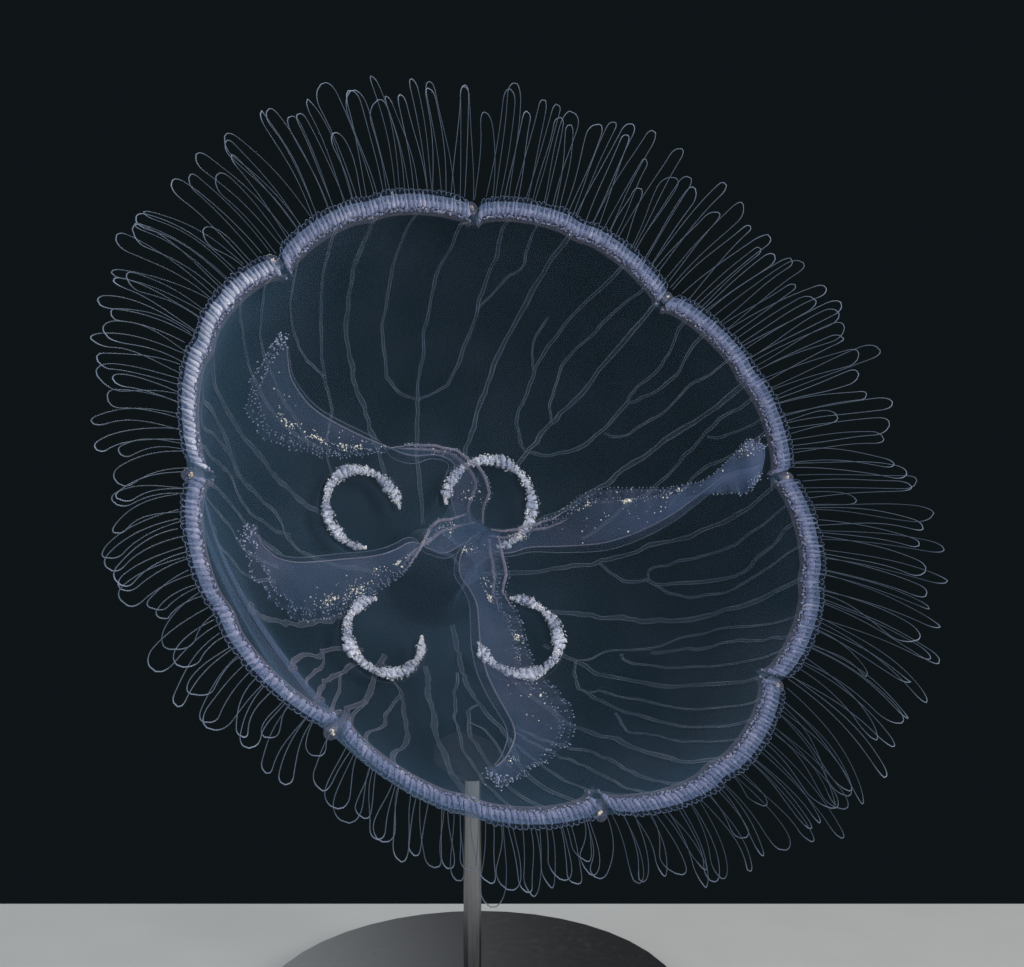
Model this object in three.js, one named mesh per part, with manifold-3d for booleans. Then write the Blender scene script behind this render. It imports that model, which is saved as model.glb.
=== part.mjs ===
// A moon jellyfish, life size, held still on a small display stand.
// Millimetres, +Z up. The origin is the centre of the stand's underside.
//
// The animal is built in a frame of its own and then turned. In that frame Z runs up the bell's
// axis to the crown, X runs to the first of the eight sense organs, and angles go from X to Y.
// Its origin is the middle of the ring on which the sense organs lie. Below it, on the side of
// the mouth, Z is negative.

import * as THREE from "three";
import { mergeVertices } from "three/addons/utils/BufferGeometryUtils.js";
import Module from "manifold-3d";

const wasm = await Module();
wasm.setup();

// Driving dimensions. Lengths are in millimetres and angles in degrees.

const BELL_RADIUS = 100;
const BELL_HEIGHT = 0.93 * BELL_RADIUS;
const CROWN_THICKNESS = 8;
const WALL_THICKNESS = 2;
const SIDE_POWER = 2.6;
const CROWN_POWER = 2.3;
const GAP = 0.3;

const OCTANTS = 8;
const OCTANT_TURN = 360 / OCTANTS;
const ARMS = 4;
const ARM_TURN = 360 / ARMS;

// How far the bell's axis is turned to the left and dipped, and where its ring's middle hangs.
const AXIS_LEFT = 26.4;
const AXIS_DIP = 24.75;
const RING_CENTRE = new THREE.Vector3(18, -33, 180);

// Where the crown ends and the eight octants of the bell begin, as a share of the way down.
const CROWN_SHARE = 0.24;

// The scalloped margin: how far the free edge stands out and drops between two sense organs,
// and how far up the wall that is felt.
const EDGE_FLARE = 1.8;
const EDGE_LEVEL = 2.2;
const EDGE_DROP = 3.2;
const FLARE_REACH = 18;

// The bell is drawn in on the side that has begun to squeeze: how deep, about which angle and how
// far to each side of it, and the heights over which the wall leans in and comes back out.
const TUCK_DEPTH = 10;
const TUCK_MIDDLE = 240;
const TUCK_REACH = 58;
const TUCK_RISE = 10;
const TUCK_FULL = 45;
const TUCK_TOP = 80;

// Each octant's lobe is larger or smaller than the others by its own share, with a small dent in
// the middle.
const LOBE_SIZES = [1, 1, 1, 1.1, 1, 1.45, 1.1, 0.75];
const LOBE_POWER = 0.55;
const DENT_DEPTH = 0.14;
const DENT_WIDTH = 0.05;

// The band of feeler bulbs along the margin.
const BAND_WIDTH = 6.6;
const BAND_THICKNESS = 2;
const BAND_SLOPE = 38;
const BAND_RADIUS = 97.5;
const BAND_LEVEL = -1;
const BAND_FLARE = 5.5;
const BAND_END = 1.7;

// The feelers hang from the band as long hairpins.
const HAIRPINS = 8;
const FEELER_THICKNESS = 0.7;
const FEELER_FREE_END = 0.06;
const FEELER_LENGTH_SPREAD = 0.1;
const HAIRPIN_SPACING = (2 * Math.PI * BELL_RADIUS) / OCTANTS / HAIRPINS;

// Half a hairpin's width at its stations, as a share of the spacing. It closes at the last one.
const HAIRPIN_STATIONS = [0, 0.45, 0.9, 1];
const HAIRPIN_WIDTHS = [0.2, 0.25, 0.22, 0];

// How the feelers trail, given at each sense organ and blended between two of them: their length,
// how far they lean from the ring's plane towards the mouth side, how far they set off sideways
// and how far they have turned sideways at the tip.
const TRAIL = [
  { length: 32, lean: 35, sweep: 0, curl: 4 },
  { length: 36, lean: 35, sweep: 0, curl: 6 },
  { length: 39, lean: 30, sweep: 10, curl: 8 },
  { length: 38, lean: 28, sweep: 16, curl: 40 },
  { length: 21, lean: 36, sweep: 10, curl: 40 },
  { length: 21, lean: 30, sweep: -8, curl: -20 },
  { length: 27, lean: 30, sweep: -25, curl: -25 },
  { length: 30, lean: 34, sweep: -12, curl: -10 },
];

// A sense organ's half length, half width and half thickness, and its place in the notch.
const ORGAN_SIZE = [3.2, 2.3, 1.2];
const ORGAN_RADIUS = BELL_RADIUS - 0.5;
const ORGAN_LEVEL = -0.7;

// The gonads: horseshoe ribbons under the roof, open towards the mouth.
const GONADS = [
  { distance: 36.5, radius: 16.5 },
  { distance: 38, radius: 15 },
  { distance: 33, radius: 14 },
  { distance: 34.5, radius: 14.5 },
];
const GONAD_THICKNESS = 4.4;
const GONAD_OPENING = 95;
const GONAD_END = 0.55;
const GONAD_PLUMPNESS = 0.1;

// The mouth stalk under the middle of the roof.
const MOUTH_LEVEL = 52;
const STALK_TOP_RADIUS = 18;
const STALK_WAIST_RADIUS = 10.5;
const STALK_MOUTH_RADIUS = 12;
const STALK_LOBES = 0.22;
const MOUTH_DEPTH = 9;

// The oral arms. Each route lists the keel's stations as [distance from the axis, angle, height].
// The opening is the angle between the two lips, and the roll leans both of them to the mouth side.
// The roll ripples along the arm, and the far lip is a little narrower than the near one.
const ARM_THICKNESS = 1.2;
const ARM_RIPPLE = 10;
const ARM_RIPPLES = 3;
const FAR_LIP = 0.85;
const ARM_ROUTES = [
  {
    opening: 34,
    roll: 14,
    widths: [7, 8, 8, 10, 16, 17, 6],
    keel: [
      [9, 20, 56], [20, 10, 47], [27, 341, 42], [38, 317, 36],
      [58, 303, 29], [75, 300, 20], [87, 306, 11],
    ],
  },
  {
    opening: 44,
    roll: 8,
    widths: [7, 13, 19, 19, 14, 9, 8],
    keel: [
      [9, 110, 55], [25, 104, 51], [40, 96, 45], [54, 93, 35],
      [69, 92, 21], [82, 89, 9], [93, 85, 3],
    ],
  },
  {
    opening: 30,
    roll: 16,
    widths: [7, 9, 12, 16, 19, 16, 7],
    keel: [
      [9, 165, 55], [22, 173, 47], [36, 179, 39], [52, 184, 31],
      [66, 187, 23], [77, 190, 16], [85, 194, 11],
    ],
  },
  {
    opening: 32,
    roll: 14,
    widths: [7, 10, 14, 17, 17, 14, 6],
    keel: [
      [9, 275, 55], [20, 268, 49], [34, 260, 43], [50, 257, 36],
      [64, 258, 28], [75, 260, 20], [82, 264, 13],
    ],
  },
];
const ARM_SPLITS = [0, 0.3, 0.7, 1];
const ARM_LENGTHS = ["base", "blade", "tip"];

// The stand. The cup's bottom is set so that its rim reaches a little way up the bell's underside.
const BASE_RADIUS = 72;
const BASE_THICKNESS = 8;
const BASE_BEVEL = 1.5;
const ROD_RADIUS = 3;
const CUP_BOTTOM = 80;
const CUP_RADIUS = 13;
const CUP_FOOT = 5;
const CUP_FLARE = 5.4;
const CUP_BLANK = 27;

// Finishes.

const FLESH = new THREE.MeshStandardMaterial({ color: 0x4c6080, roughness: 0.25, metalness: 0 });
const MARGIN = new THREE.MeshStandardMaterial({ color: 0x8f97c4, roughness: 0.4, metalness: 0 });
const ORGAN = new THREE.MeshStandardMaterial({ color: 0xe6d3a4, roughness: 0.4, metalness: 0 });
const GONAD = new THREE.MeshStandardMaterial({ color: 0xd9cfd6, roughness: 0.6, metalness: 0 });
const ARM = new THREE.MeshStandardMaterial({ color: 0x5d74a6, roughness: 0.3, metalness: 0 });
const CHARCOAL = new THREE.MeshStandardMaterial({ color: 0x24262a, roughness: 0.5, metalness: 0 });
const STEEL = new THREE.MeshStandardMaterial({ color: 0xb9bcc0, roughness: 0.3, metalness: 1 });

// Small helpers.

function radians(degrees) {
  return (degrees * Math.PI) / 180;
}

function mix(a, b, share) {
  return a + (b - a) * share;
}

// The sum of two directions, each taken so many times.
function blend(first, firstAmount, second, secondAmount) {
  return first.clone().multiplyScalar(firstAmount).addScaledVector(second, secondAmount);
}

function polar(radius, angle, height) {
  return new THREE.Vector3(radius * Math.cos(radians(angle)), radius * Math.sin(radians(angle)), height);
}

// Triangles that fill a flat outline, wound the way that the outline runs.
function fill(outline) {
  const triangles = THREE.ShapeUtils.triangulateShape(outline, []);
  const clockwise = THREE.ShapeUtils.isClockWise(outline);
  return triangles.map(([a, b, c]) => (clockwise ? [a, c, b] : [a, b, c]));
}

// A closed solid through rings of equal length. Each ring runs anticlockwise about the direction
// of travel. The end rings are flat, and their outlines in their own planes close the solid.
function loft(rings, firstOutline, lastOutline) {
  const positions = rings.flat().flatMap((point) => [point.x, point.y, point.z]);
  const count = rings[0].length;
  const index = [];
  for (let ring = 0; ring + 1 < rings.length; ring += 1) {
    for (let side = 0; side < count; side += 1) {
      const next = (side + 1) % count;
      const here = ring * count;
      const there = here + count;
      index.push(here + side, here + next, there + next);
      index.push(here + side, there + next, there + side);
    }
  }
  const last = (rings.length - 1) * count;
  for (const [a, b, c] of fill(firstOutline)) {
    index.push(a, c, b);
  }
  for (const [a, b, c] of fill(lastOutline)) {
    index.push(last + a, last + b, last + c);
  }
  const geometry = new THREE.BufferGeometry();
  geometry.setAttribute("position", new THREE.Float32BufferAttribute(positions, 3));
  geometry.setIndex(index);
  return geometry;
}

// A boolean solid from a closed geometry, and back.
function solid(geometry) {
  const bare = geometry.clone();
  bare.deleteAttribute("normal");
  bare.deleteAttribute("uv");
  const merged = mergeVertices(bare, 1e-4);
  const vertProperties = new Float32Array(merged.attributes.position.array);
  const triVerts = new Uint32Array(merged.index.array);
  return new wasm.Manifold(new wasm.Mesh({ numProp: 3, vertProperties, triVerts }));
}

function geometryOf(body) {
  const result = body.getMesh();
  const geometry = new THREE.BufferGeometry();
  geometry.setAttribute("position", new THREE.Float32BufferAttribute(result.vertProperties, 3));
  geometry.setIndex(Array.from(result.triVerts));
  return geometry;
}

// The bell's wall. It is a superellipse turned about the axis: steep at the margin and round at
// the crown. fall goes from 0 at the crown's middle to 1 at the margin.
function wallPoint(fall, inside) {
  const radius = BELL_RADIUS - (inside ? WALL_THICKNESS : 0);
  const height = BELL_HEIGHT - (inside ? CROWN_THICKNESS : 0);
  const turn = (fall * Math.PI) / 2;
  return {
    r: radius * Math.pow(Math.sin(turn), 2 / SIDE_POWER),
    h: height * Math.pow(Math.cos(turn), 2 / CROWN_POWER),
  };
}

// The height of the roof's underside at a distance from the axis.
function roofLevel(distance) {
  const share = Math.min(distance / (BELL_RADIUS - WALL_THICKNESS), 1);
  return (BELL_HEIGHT - CROWN_THICKNESS) * Math.pow(1 - Math.pow(share, SIDE_POWER), 1 / CROWN_POWER);
}

// 0 in the notch of a sense organ and about 1 along the edge between two, with a small dent
// half way.
function lobe(angle) {
  const turns = angle / OCTANT_TURN;
  const across = turns - Math.floor(turns);
  const arch = Math.pow(Math.sin(Math.PI * across), LOBE_POWER);
  const dent = DENT_DEPTH * Math.exp(-Math.pow((across - 0.5) / DENT_WIDTH, 2));
  return LOBE_SIZES[Math.floor(turns) % OCTANTS] * (arch - dent);
}

// How far the wall is drawn in at an angle and a height.
function tuck(angle, height) {
  const aside = Math.min(Math.abs(angle - TUCK_MIDDLE) / TUCK_REACH, 1);
  const round = Math.pow(Math.cos((aside * Math.PI) / 2), 2);
  const leaned = 1 - Math.exp(-Math.pow(height / TUCK_RISE, 2));
  const below = Math.min(Math.max((TUCK_TOP - height) / (TUCK_TOP - TUCK_FULL), 0), 1);
  return TUCK_DEPTH * round * leaned * below * below * (3 - 2 * below);
}

function bellOutlinePoint(angle, fall, inside) {
  const { r, h } = wallPoint(fall, inside);
  const nearEdge = Math.exp(-h / FLARE_REACH);
  const stand = EDGE_FLARE * lobe(angle) * nearEdge;
  const drop = (EDGE_DROP * lobe(angle) - EDGE_LEVEL) * nearEdge;
  return new THREE.Vector2(r + stand - tuck(angle, h), h - drop);
}

function bellOctant(number) {
  const columns = 8;
  const rows = 6;
  const rings = [];
  const outlines = [];
  for (let column = 0; column <= columns; column += 1) {
    const angle = (number + column / columns) * OCTANT_TURN;
    const outline = [];
    for (let row = 0; row <= rows; row += 1) {
      outline.push(bellOutlinePoint(angle, mix(CROWN_SHARE, 1, row / rows), false));
    }
    for (let row = rows; row >= 0; row -= 1) {
      outline.push(bellOutlinePoint(angle, mix(CROWN_SHARE, 1, row / rows), true));
    }
    const inset = column === 0 ? GAP / 2 : column === columns ? -GAP / 2 : 0;
    const sideways = polar(inset, angle + 90, 0);
    rings.push(outline.map((point) => polar(point.x, angle, point.y).add(sideways)));
    outlines.push(outline);
  }
  return loft(rings, outlines[0], outlines[columns]);
}

function bellCrown() {
  const rows = 3;
  const profile = [];
  for (let row = 0; row <= rows; row += 1) {
    const { r, h } = wallPoint((CROWN_SHARE * row) / rows, true);
    profile.push(new THREE.Vector2(Math.max(r - (row === rows ? GAP : 0), 0), h));
  }
  for (let row = rows; row >= 0; row -= 1) {
    const { r, h } = wallPoint((CROWN_SHARE * row) / rows, false);
    profile.push(new THREE.Vector2(Math.max(r - (row === rows ? GAP : 0), 0), h));
  }
  return turned(profile, 32);
}

// A LatheGeometry turned so that its axis is Z. Its profile gives [distance, height] and runs so
// that the solid lies on its left.
function turned(profile, segments) {
  const geometry = new THREE.LatheGeometry(profile, segments);
  geometry.rotateX(Math.PI / 2);
  return geometryOf(solid(geometry));
}

// The margin band's middle line, and the two directions of its section: out along the slope,
// and square to it on the crown's side.
function bandCentre(angle) {
  return new THREE.Vector2(BAND_RADIUS + BAND_FLARE * lobe(angle), BAND_LEVEL - EDGE_DROP * lobe(angle));
}

const BAND_OUT = new THREE.Vector2(Math.cos(radians(BAND_SLOPE)), -Math.sin(radians(BAND_SLOPE)));
const BAND_UP = new THREE.Vector2(Math.sin(radians(BAND_SLOPE)), Math.cos(radians(BAND_SLOPE)));

function bandCorner(angle, out, up) {
  const corner = bandCentre(angle);
  corner.addScaledVector(BAND_OUT, (out * BAND_WIDTH) / 2);
  return corner.addScaledVector(BAND_UP, (up * BAND_THICKNESS) / 2);
}

function marginBand(number) {
  const columns = 10;
  const rings = [];
  let outline;
  for (let column = 0; column <= columns; column += 1) {
    const angle = number * OCTANT_TURN + mix(BAND_END, OCTANT_TURN - BAND_END, column / columns);
    outline = [bandCorner(angle, -1, 1), bandCorner(angle, 1, 1), bandCorner(angle, 1, -1)];
    outline.push(bandCorner(angle, -1, -1));
    rings.push(outline.map((point) => polar(point.x, angle, point.y)));
  }
  return loft(rings, outline, outline);
}

function trail(angle) {
  const turns = angle / OCTANT_TURN;
  const from = TRAIL[Math.floor(turns) % OCTANTS];
  const to = TRAIL[(Math.floor(turns) + 1) % OCTANTS];
  const share = turns - Math.floor(turns);
  const blended = {};
  for (const key of Object.keys(from)) {
    blended[key] = mix(from[key], to[key], share);
  }
  return blended;
}

// One hairpin feeler: out from the band, round a narrow bend, and back beside itself.
// The heading turns sideways on the way from the sweep to the sweep and curl together.
function hairpin(angle, variation) {
  const { length, lean, sweep, curl } = trail(angle);
  const reach = length * (1 + FEELER_LENGTH_SPREAD * variation);
  const outward = polar(1, angle, 0);
  const around = polar(1, angle + 90, 0);
  const foot = bandCentre(angle);
  const point = polar(foot.x, angle, foot.y);
  const out = [];
  const back = [];
  HAIRPIN_STATIONS.forEach((station, step) => {
    const gone = step === 0 ? 0 : station - HAIRPIN_STATIONS[step - 1];
    const width = HAIRPIN_WIDTHS[step] * HAIRPIN_SPACING;
    const heading = radians(sweep + curl * (station - gone / 2));
    const side = blend(around, Math.cos(heading), outward, -Math.sin(heading));
    const ahead = blend(outward, Math.cos(heading), around, Math.sin(heading));
    ahead.multiplyScalar(Math.cos(radians(lean)));
    ahead.z = -Math.sin(radians(lean));
    point.addScaledVector(ahead, gone * reach);
    out.push(point.clone().addScaledVector(side, -width));
    back.unshift(point.clone().addScaledVector(side, width));
  });
  return feelerTube([...out, ...back.slice(1)]);
}

// A three-sided tube along a route of points.
function feelerTube(route) {
  const up = new THREE.Vector3(0, 0, 1);
  const corners = [90, 210, 330];
  const outline = corners.map((turn) => new THREE.Vector2(Math.cos(radians(turn)), Math.sin(radians(turn))));
  const rings = route.map((point, place) => {
    const before = route[Math.max(place - 1, 0)];
    const after = route[Math.min(place + 1, route.length - 1)];
    const ahead = after.clone().sub(before).normalize();
    const side = new THREE.Vector3().crossVectors(up, ahead).normalize();
    const rise = new THREE.Vector3().crossVectors(ahead, side);
    return outline.map((corner) => {
      const offset = blend(side, corner.x, rise, corner.y);
      return point.clone().addScaledVector(offset, FEELER_THICKNESS / Math.sqrt(3));
    });
  });
  return loft(rings, outline, outline);
}

function marginFringe(number) {
  let body = solid(marginBand(number));
  for (let order = 0; order < HAIRPINS; order += 1) {
    const share = (order + 0.5) / HAIRPINS;
    const angle = (number + mix(FEELER_FREE_END, 1 - FEELER_FREE_END, share)) * OCTANT_TURN;
    const variation = Math.sin(2.4 * order + number);
    body = body.add(solid(hairpin(angle, variation)));
  }
  return geometryOf(body.simplify(0.03));
}

// A sense organ: a small flat hood in the notch between two lobes of the margin.
function senseOrgan(number) {
  const geometry = new THREE.SphereGeometry(1, 7, 4);
  geometry.scale(...ORGAN_SIZE);
  geometry.rotateZ(radians(number * OCTANT_TURN));
  const notch = polar(ORGAN_RADIUS, number * OCTANT_TURN, ORGAN_LEVEL);
  geometry.translate(notch.x, notch.y, notch.z);
  return geometryOf(solid(geometry));
}

// A gonad follows the underside of the roof.
function gonad(number) {
  const { distance, radius } = GONADS[number];
  const middle = (number + 0.5) * ARM_TURN;
  const centre = polar(distance, middle, 0);
  const steps = 12;
  const sides = 5;
  const rings = [];
  const outline = [];
  for (let side = 0; side < sides; side += 1) {
    const turn = radians((side * 360) / sides);
    outline.push(new THREE.Vector2(Math.cos(turn), -Math.sin(turn)));
  }
  const reach = 180 - GONAD_OPENING / 2;
  for (let step = 0; step <= steps; step += 1) {
    const turn = middle + mix(-reach, reach, step / steps);
    const out = polar(1, turn, 0);
    const plump = step === 0 || step === steps ? GONAD_END : 1 + GONAD_PLUMPNESS * Math.sin(2.2 * step);
    const half = (GONAD_THICKNESS / 2) * plump;
    const point = centre.clone().addScaledVector(out, radius);
    point.z = roofLevel(Math.hypot(point.x, point.y) + half) - half - 2 * GAP;
    const up = new THREE.Vector3(0, 0, 1);
    rings.push(outline.map((corner) => blend(out, half * corner.x, up, half * corner.y).add(point)));
  }
  return loft(rings, outline, outline);
}

// The mouth stalk: four-lobed, hung from the roof, with the mouth sunk in its free end.
// grow makes it that much larger all round.
function mouthStalk(grow) {
  const sides = 16;
  const top = roofLevel(STALK_TOP_RADIUS) - GAP;
  const levels = [
    { h: top, r: STALK_TOP_RADIUS, lobes: 0 },
    { h: mix(top, MOUTH_LEVEL, 0.25), r: mix(STALK_TOP_RADIUS, STALK_WAIST_RADIUS, 0.7), lobes: 0.5 },
    { h: mix(top, MOUTH_LEVEL, 0.6), r: STALK_WAIST_RADIUS, lobes: 1 },
    { h: MOUTH_LEVEL - grow, r: STALK_MOUTH_RADIUS, lobes: 1 },
  ];
  const mouth = { h: MOUTH_LEVEL + MOUTH_DEPTH, r: STALK_MOUTH_RADIUS * 0.3, lobes: 1 };
  const rings = (grow > 0 ? levels : [...levels, mouth]).map(({ h, r, lobes }) => {
    const ring = [];
    for (let side = 0; side < sides; side += 1) {
      const angle = (side * 360) / sides;
      const wave = 1 + STALK_LOBES * lobes * Math.cos(radians(angle * ARMS));
      ring.push(polar((r + grow) * wave, angle, h));
    }
    return ring.reverse();
  });
  const flat = rings.map((ring) => ring.map((point) => new THREE.Vector2(-point.x, point.y)));
  return loft(rings, flat[0], flat[flat.length - 1]);
}

// The keel of an oral arm as a curve, with the width of its lips along it.
function armKeel(route) {
  return new THREE.CatmullRomCurve3(route.keel.map(([r, angle, h]) => polar(r, angle, h)));
}

function alongList(values, share) {
  const place = share * (values.length - 1);
  const before = Math.min(Math.floor(place), values.length - 2);
  return mix(values[before], values[before + 1], place - before);
}

// One length of an oral arm. Its section is a folded leaf: two lips that share the keel.
function armLength(number, part) {
  const route = ARM_ROUTES[number];
  const keel = armKeel(route);
  const half = GAP / 2 / keel.getLength();
  const from = ARM_SPLITS[part] + (part > 0 ? half : 0);
  const to = ARM_SPLITS[part + 1] - (part < 2 ? half : 0);
  const steps = [5, 6, 5][part];
  const rings = [];
  const outlines = [];
  for (let step = 0; step <= steps; step += 1) {
    const share = mix(from, to, step / steps);
    const width = alongList(route.widths, share);
    const ripple = ARM_RIPPLE * Math.sin(2 * Math.PI * ARM_RIPPLES * share + number);
    const outline = leafSection(width, route.roll + ripple, route.opening);
    rings.push(placeSection(keel, share, outline));
    outlines.push(outline);
  }
  return loft(rings, outlines[0], outlines[steps]);
}

function leafSection(width, roll, opening) {
  const near = radians(roll + opening / 2);
  const far = radians(roll - opening / 2);
  const nearTip = new THREE.Vector2(Math.cos(near), Math.sin(near)).multiplyScalar(width);
  const farTip = new THREE.Vector2(Math.cos(far), Math.sin(far)).multiplyScalar(FAR_LIP * width);
  const lip = 0.7 * ARM_THICKNESS;
  const nearSide = new THREE.Vector2(Math.sin(near), -Math.cos(near)).multiplyScalar(lip);
  const farSide = new THREE.Vector2(-Math.sin(far), Math.cos(far)).multiplyScalar(lip);
  const middle = radians(roll);
  const crease = new THREE.Vector2(Math.cos(middle), Math.sin(middle));
  return [
    crease.clone().multiplyScalar(-ARM_THICKNESS),
    farTip,
    farTip.clone().add(farSide),
    crease.clone().multiplyScalar(1.6 * ARM_THICKNESS),
    nearTip.clone().add(nearSide),
    nearTip,
  ];
}

// Sets a section square across the keel. Its first direction points to the side of falling
// angles and its second to the mouth side.
function placeSection(keel, share, outline) {
  const centre = keel.getPointAt(share);
  const ahead = keel.getTangentAt(share);
  const side = new THREE.Vector3().crossVectors(new THREE.Vector3(0, 0, -1), ahead).normalize();
  const mouthward = new THREE.Vector3().crossVectors(ahead, side);
  return outline.map((corner) => blend(side, corner.x, mouthward, corner.y).add(centre));
}

// The stand: a round base, one rod and a cup cut to the bell that lies in it.
function standBase() {
  const profile = [
    [0, 0],
    [BASE_RADIUS, 0],
    [BASE_RADIUS, BASE_THICKNESS - BASE_BEVEL],
    [BASE_RADIUS - BASE_BEVEL, BASE_THICKNESS],
    [0, BASE_THICKNESS],
  ];
  return turned(profile.map(([r, h]) => new THREE.Vector2(r, h)), 40);
}

function standRod() {
  const foot = BASE_THICKNESS + GAP;
  const top = CUP_BOTTOM - GAP;
  const profile = [
    [0, foot],
    [ROD_RADIUS, foot],
    [ROD_RADIUS, top],
    [0, top],
  ];
  return turned(profile.map(([r, h]) => new THREE.Vector2(r, h)), 14);
}

// The whole bell as one filled body, larger than its outside by the gap.
function bellFilled(pose) {
  const rows = 12;
  const profile = [];
  for (let row = 0; row <= rows; row += 1) {
    const { r, h } = wallPoint(row / rows, false);
    profile.push(new THREE.Vector2(row === 0 ? 0 : r + GAP, h + GAP));
  }
  profile.push(new THREE.Vector2(0, 0));
  profile.reverse();
  const geometry = turned(profile, 64);
  geometry.applyMatrix4(pose);
  return solid(geometry);
}

// The cup starts as a tall blank, and the bell that lies in it is cut away.
function standCup(bell) {
  const profile = [
    [0, CUP_BOTTOM],
    [CUP_FOOT, CUP_BOTTOM],
    [CUP_RADIUS, CUP_BOTTOM + CUP_FLARE],
    [CUP_RADIUS, CUP_BOTTOM + CUP_BLANK],
    [0, CUP_BOTTOM + CUP_BLANK],
  ];
  const blank = turned(profile.map(([r, h]) => new THREE.Vector2(r, h)), 24);
  return geometryOf(solid(blank).subtract(bell));
}

// Assembly.

const jellyfish = new THREE.Group();
const animal = new THREE.Group();
jellyfish.add(animal);

function addPiece(parent, name, geometry, material) {
  const mesh = new THREE.Mesh(geometry, material);
  mesh.name = name;
  parent.add(mesh);
}

// The axis points away and to the left, dipping below level.
const left = radians(AXIS_LEFT);
const dip = radians(AXIS_DIP);
const level = Math.cos(dip);
const axis = new THREE.Vector3(-Math.sin(left) * level, Math.cos(left) * level, -Math.sin(dip));
const quarter = new THREE.Vector3(Math.cos(left), Math.sin(left), 0);
const first = new THREE.Vector3().crossVectors(quarter, axis);
const pose = new THREE.Matrix4().makeBasis(first, quarter, axis).setPosition(RING_CENTRE);
animal.applyMatrix4(pose);

addPiece(animal, "bell_crown", bellCrown(), FLESH);
for (let octant = 0; octant < OCTANTS; octant += 1) {
  addPiece(animal, `bell_octant_${octant + 1}`, bellOctant(octant), FLESH);
  addPiece(animal, `margin_fringe_${octant + 1}`, marginFringe(octant), MARGIN);
  addPiece(animal, `sense_organ_${octant + 1}`, senseOrgan(octant), ORGAN);
}
addPiece(animal, "mouth_stalk", mouthStalk(0), FLESH);
const stalkRoom = solid(mouthStalk(GAP));
for (let arm = 0; arm < ARMS; arm += 1) {
  addPiece(animal, `gonad_${arm + 1}`, gonad(arm), GONAD);
  ARM_LENGTHS.forEach((length, part) => {
    const whole = armLength(arm, part);
    const shape = part === 0 ? geometryOf(solid(whole).subtract(stalkRoom)) : whole;
    addPiece(animal, `oral_arm_${arm + 1}_${length}`, shape, ARM);
  });
}

addPiece(jellyfish, "stand_base", standBase(), CHARCOAL);
addPiece(jellyfish, "stand_rod", standRod(), STEEL);
addPiece(jellyfish, "stand_cup", standCup(bellFilled(pose)), CHARCOAL);

export default jellyfish;
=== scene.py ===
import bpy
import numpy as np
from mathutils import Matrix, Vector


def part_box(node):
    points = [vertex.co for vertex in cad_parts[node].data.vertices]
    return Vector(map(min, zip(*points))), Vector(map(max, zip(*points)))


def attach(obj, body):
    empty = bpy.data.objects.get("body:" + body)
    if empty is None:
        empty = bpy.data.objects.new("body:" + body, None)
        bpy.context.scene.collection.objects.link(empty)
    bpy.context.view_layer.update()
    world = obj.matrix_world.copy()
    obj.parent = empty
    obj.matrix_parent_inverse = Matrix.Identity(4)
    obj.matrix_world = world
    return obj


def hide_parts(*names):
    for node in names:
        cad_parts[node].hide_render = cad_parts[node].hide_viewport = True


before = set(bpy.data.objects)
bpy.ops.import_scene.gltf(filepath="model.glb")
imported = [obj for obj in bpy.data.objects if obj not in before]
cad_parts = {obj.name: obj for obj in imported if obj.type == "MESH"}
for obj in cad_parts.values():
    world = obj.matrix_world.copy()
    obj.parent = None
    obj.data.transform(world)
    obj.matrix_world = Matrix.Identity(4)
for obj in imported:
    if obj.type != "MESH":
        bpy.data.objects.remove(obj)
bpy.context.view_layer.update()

# A moon jellyfish, life size, on a small display stand. The model is in metres with +Z up.
#
# The animal is drawn in a frame of its own, in millimetres: Z runs up the bell's axis to the
# crown, X runs to the first of the eight sense organs, and angles go from X to Y. Its origin is
# the middle of the sense organs' ring, and the mouth side is below it.

# The animal's own frame, found from the eight sense organs.

TO_AXIS = np.array([0.0, 0.0, 1.0])
OCTANTS = 8
OCTANT_TURN = 360 / OCTANTS
ARMS = 4
ARM_TURN = 360 / ARMS
ORGAN_RADIUS = 99.5
ORGAN_LEVEL = -0.7


def unit(vectors):
    """The same directions with a length of one."""
    vectors = np.asarray(vectors, float)
    return vectors / np.linalg.norm(vectors, axis=-1, keepdims=True)


def middle_of(node):
    low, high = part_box(node)
    return np.array((low + high) / 2)


organs = [middle_of(f"sense_organ_{number + 1}") for number in range(OCTANTS)]
TO_FIRST = unit(organs[0] - organs[4])
TO_CROWN = unit(np.cross(TO_FIRST, organs[2] - organs[6]))
TO_THIRD = np.cross(TO_CROWN, TO_FIRST)
MM = np.linalg.norm(organs[0] - organs[4]) / 2 / ORGAN_RADIUS
RING_MIDDLE = np.mean(organs, axis=0) - TO_CROWN * ORGAN_LEVEL * MM


def placed(points):
    """Points of the animal's frame, in millimetres, as points of the model, in metres."""
    return RING_MIDDLE + MM * (np.asarray(points, float) @ np.array([TO_FIRST, TO_THIRD, TO_CROWN]))


# The camera looks along +Y, from a place in millimetres from the ring's middle.
CAMERA_PLACE = np.array([-4.8, -334.5, -1.9])
FRAME_SIZE = (1024, 967)
FRAME_DEPTH = 1100
SENSOR = 36


def seen_at(x, y, height):
    """The point of the animal's frame that is at a height and shows at a pixel of the camera's frame."""
    axes = np.array([TO_FIRST, TO_THIRD, TO_CROWN]).T
    across = (np.asarray(x, float) - FRAME_SIZE[0] / 2) / FRAME_DEPTH
    above = (FRAME_SIZE[1] / 2 - np.asarray(y, float)) / FRAME_DEPTH
    ahead = np.stack([across, np.ones_like(across), above], axis=-1) @ axes
    start = CAMERA_PLACE @ axes
    return start + ahead * ((height - start[2]) / ahead[..., 2])[..., None]


# Sizes of the animal, in millimetres and degrees.

BELL_RADIUS = 100
BELL_HEIGHT = 93
CROWN_THICKNESS = 8
WALL_THICKNESS = 2
SIDE_POWER = 2.6
CROWN_POWER = 2.3
SKIN_INSET = 0.1

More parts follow.
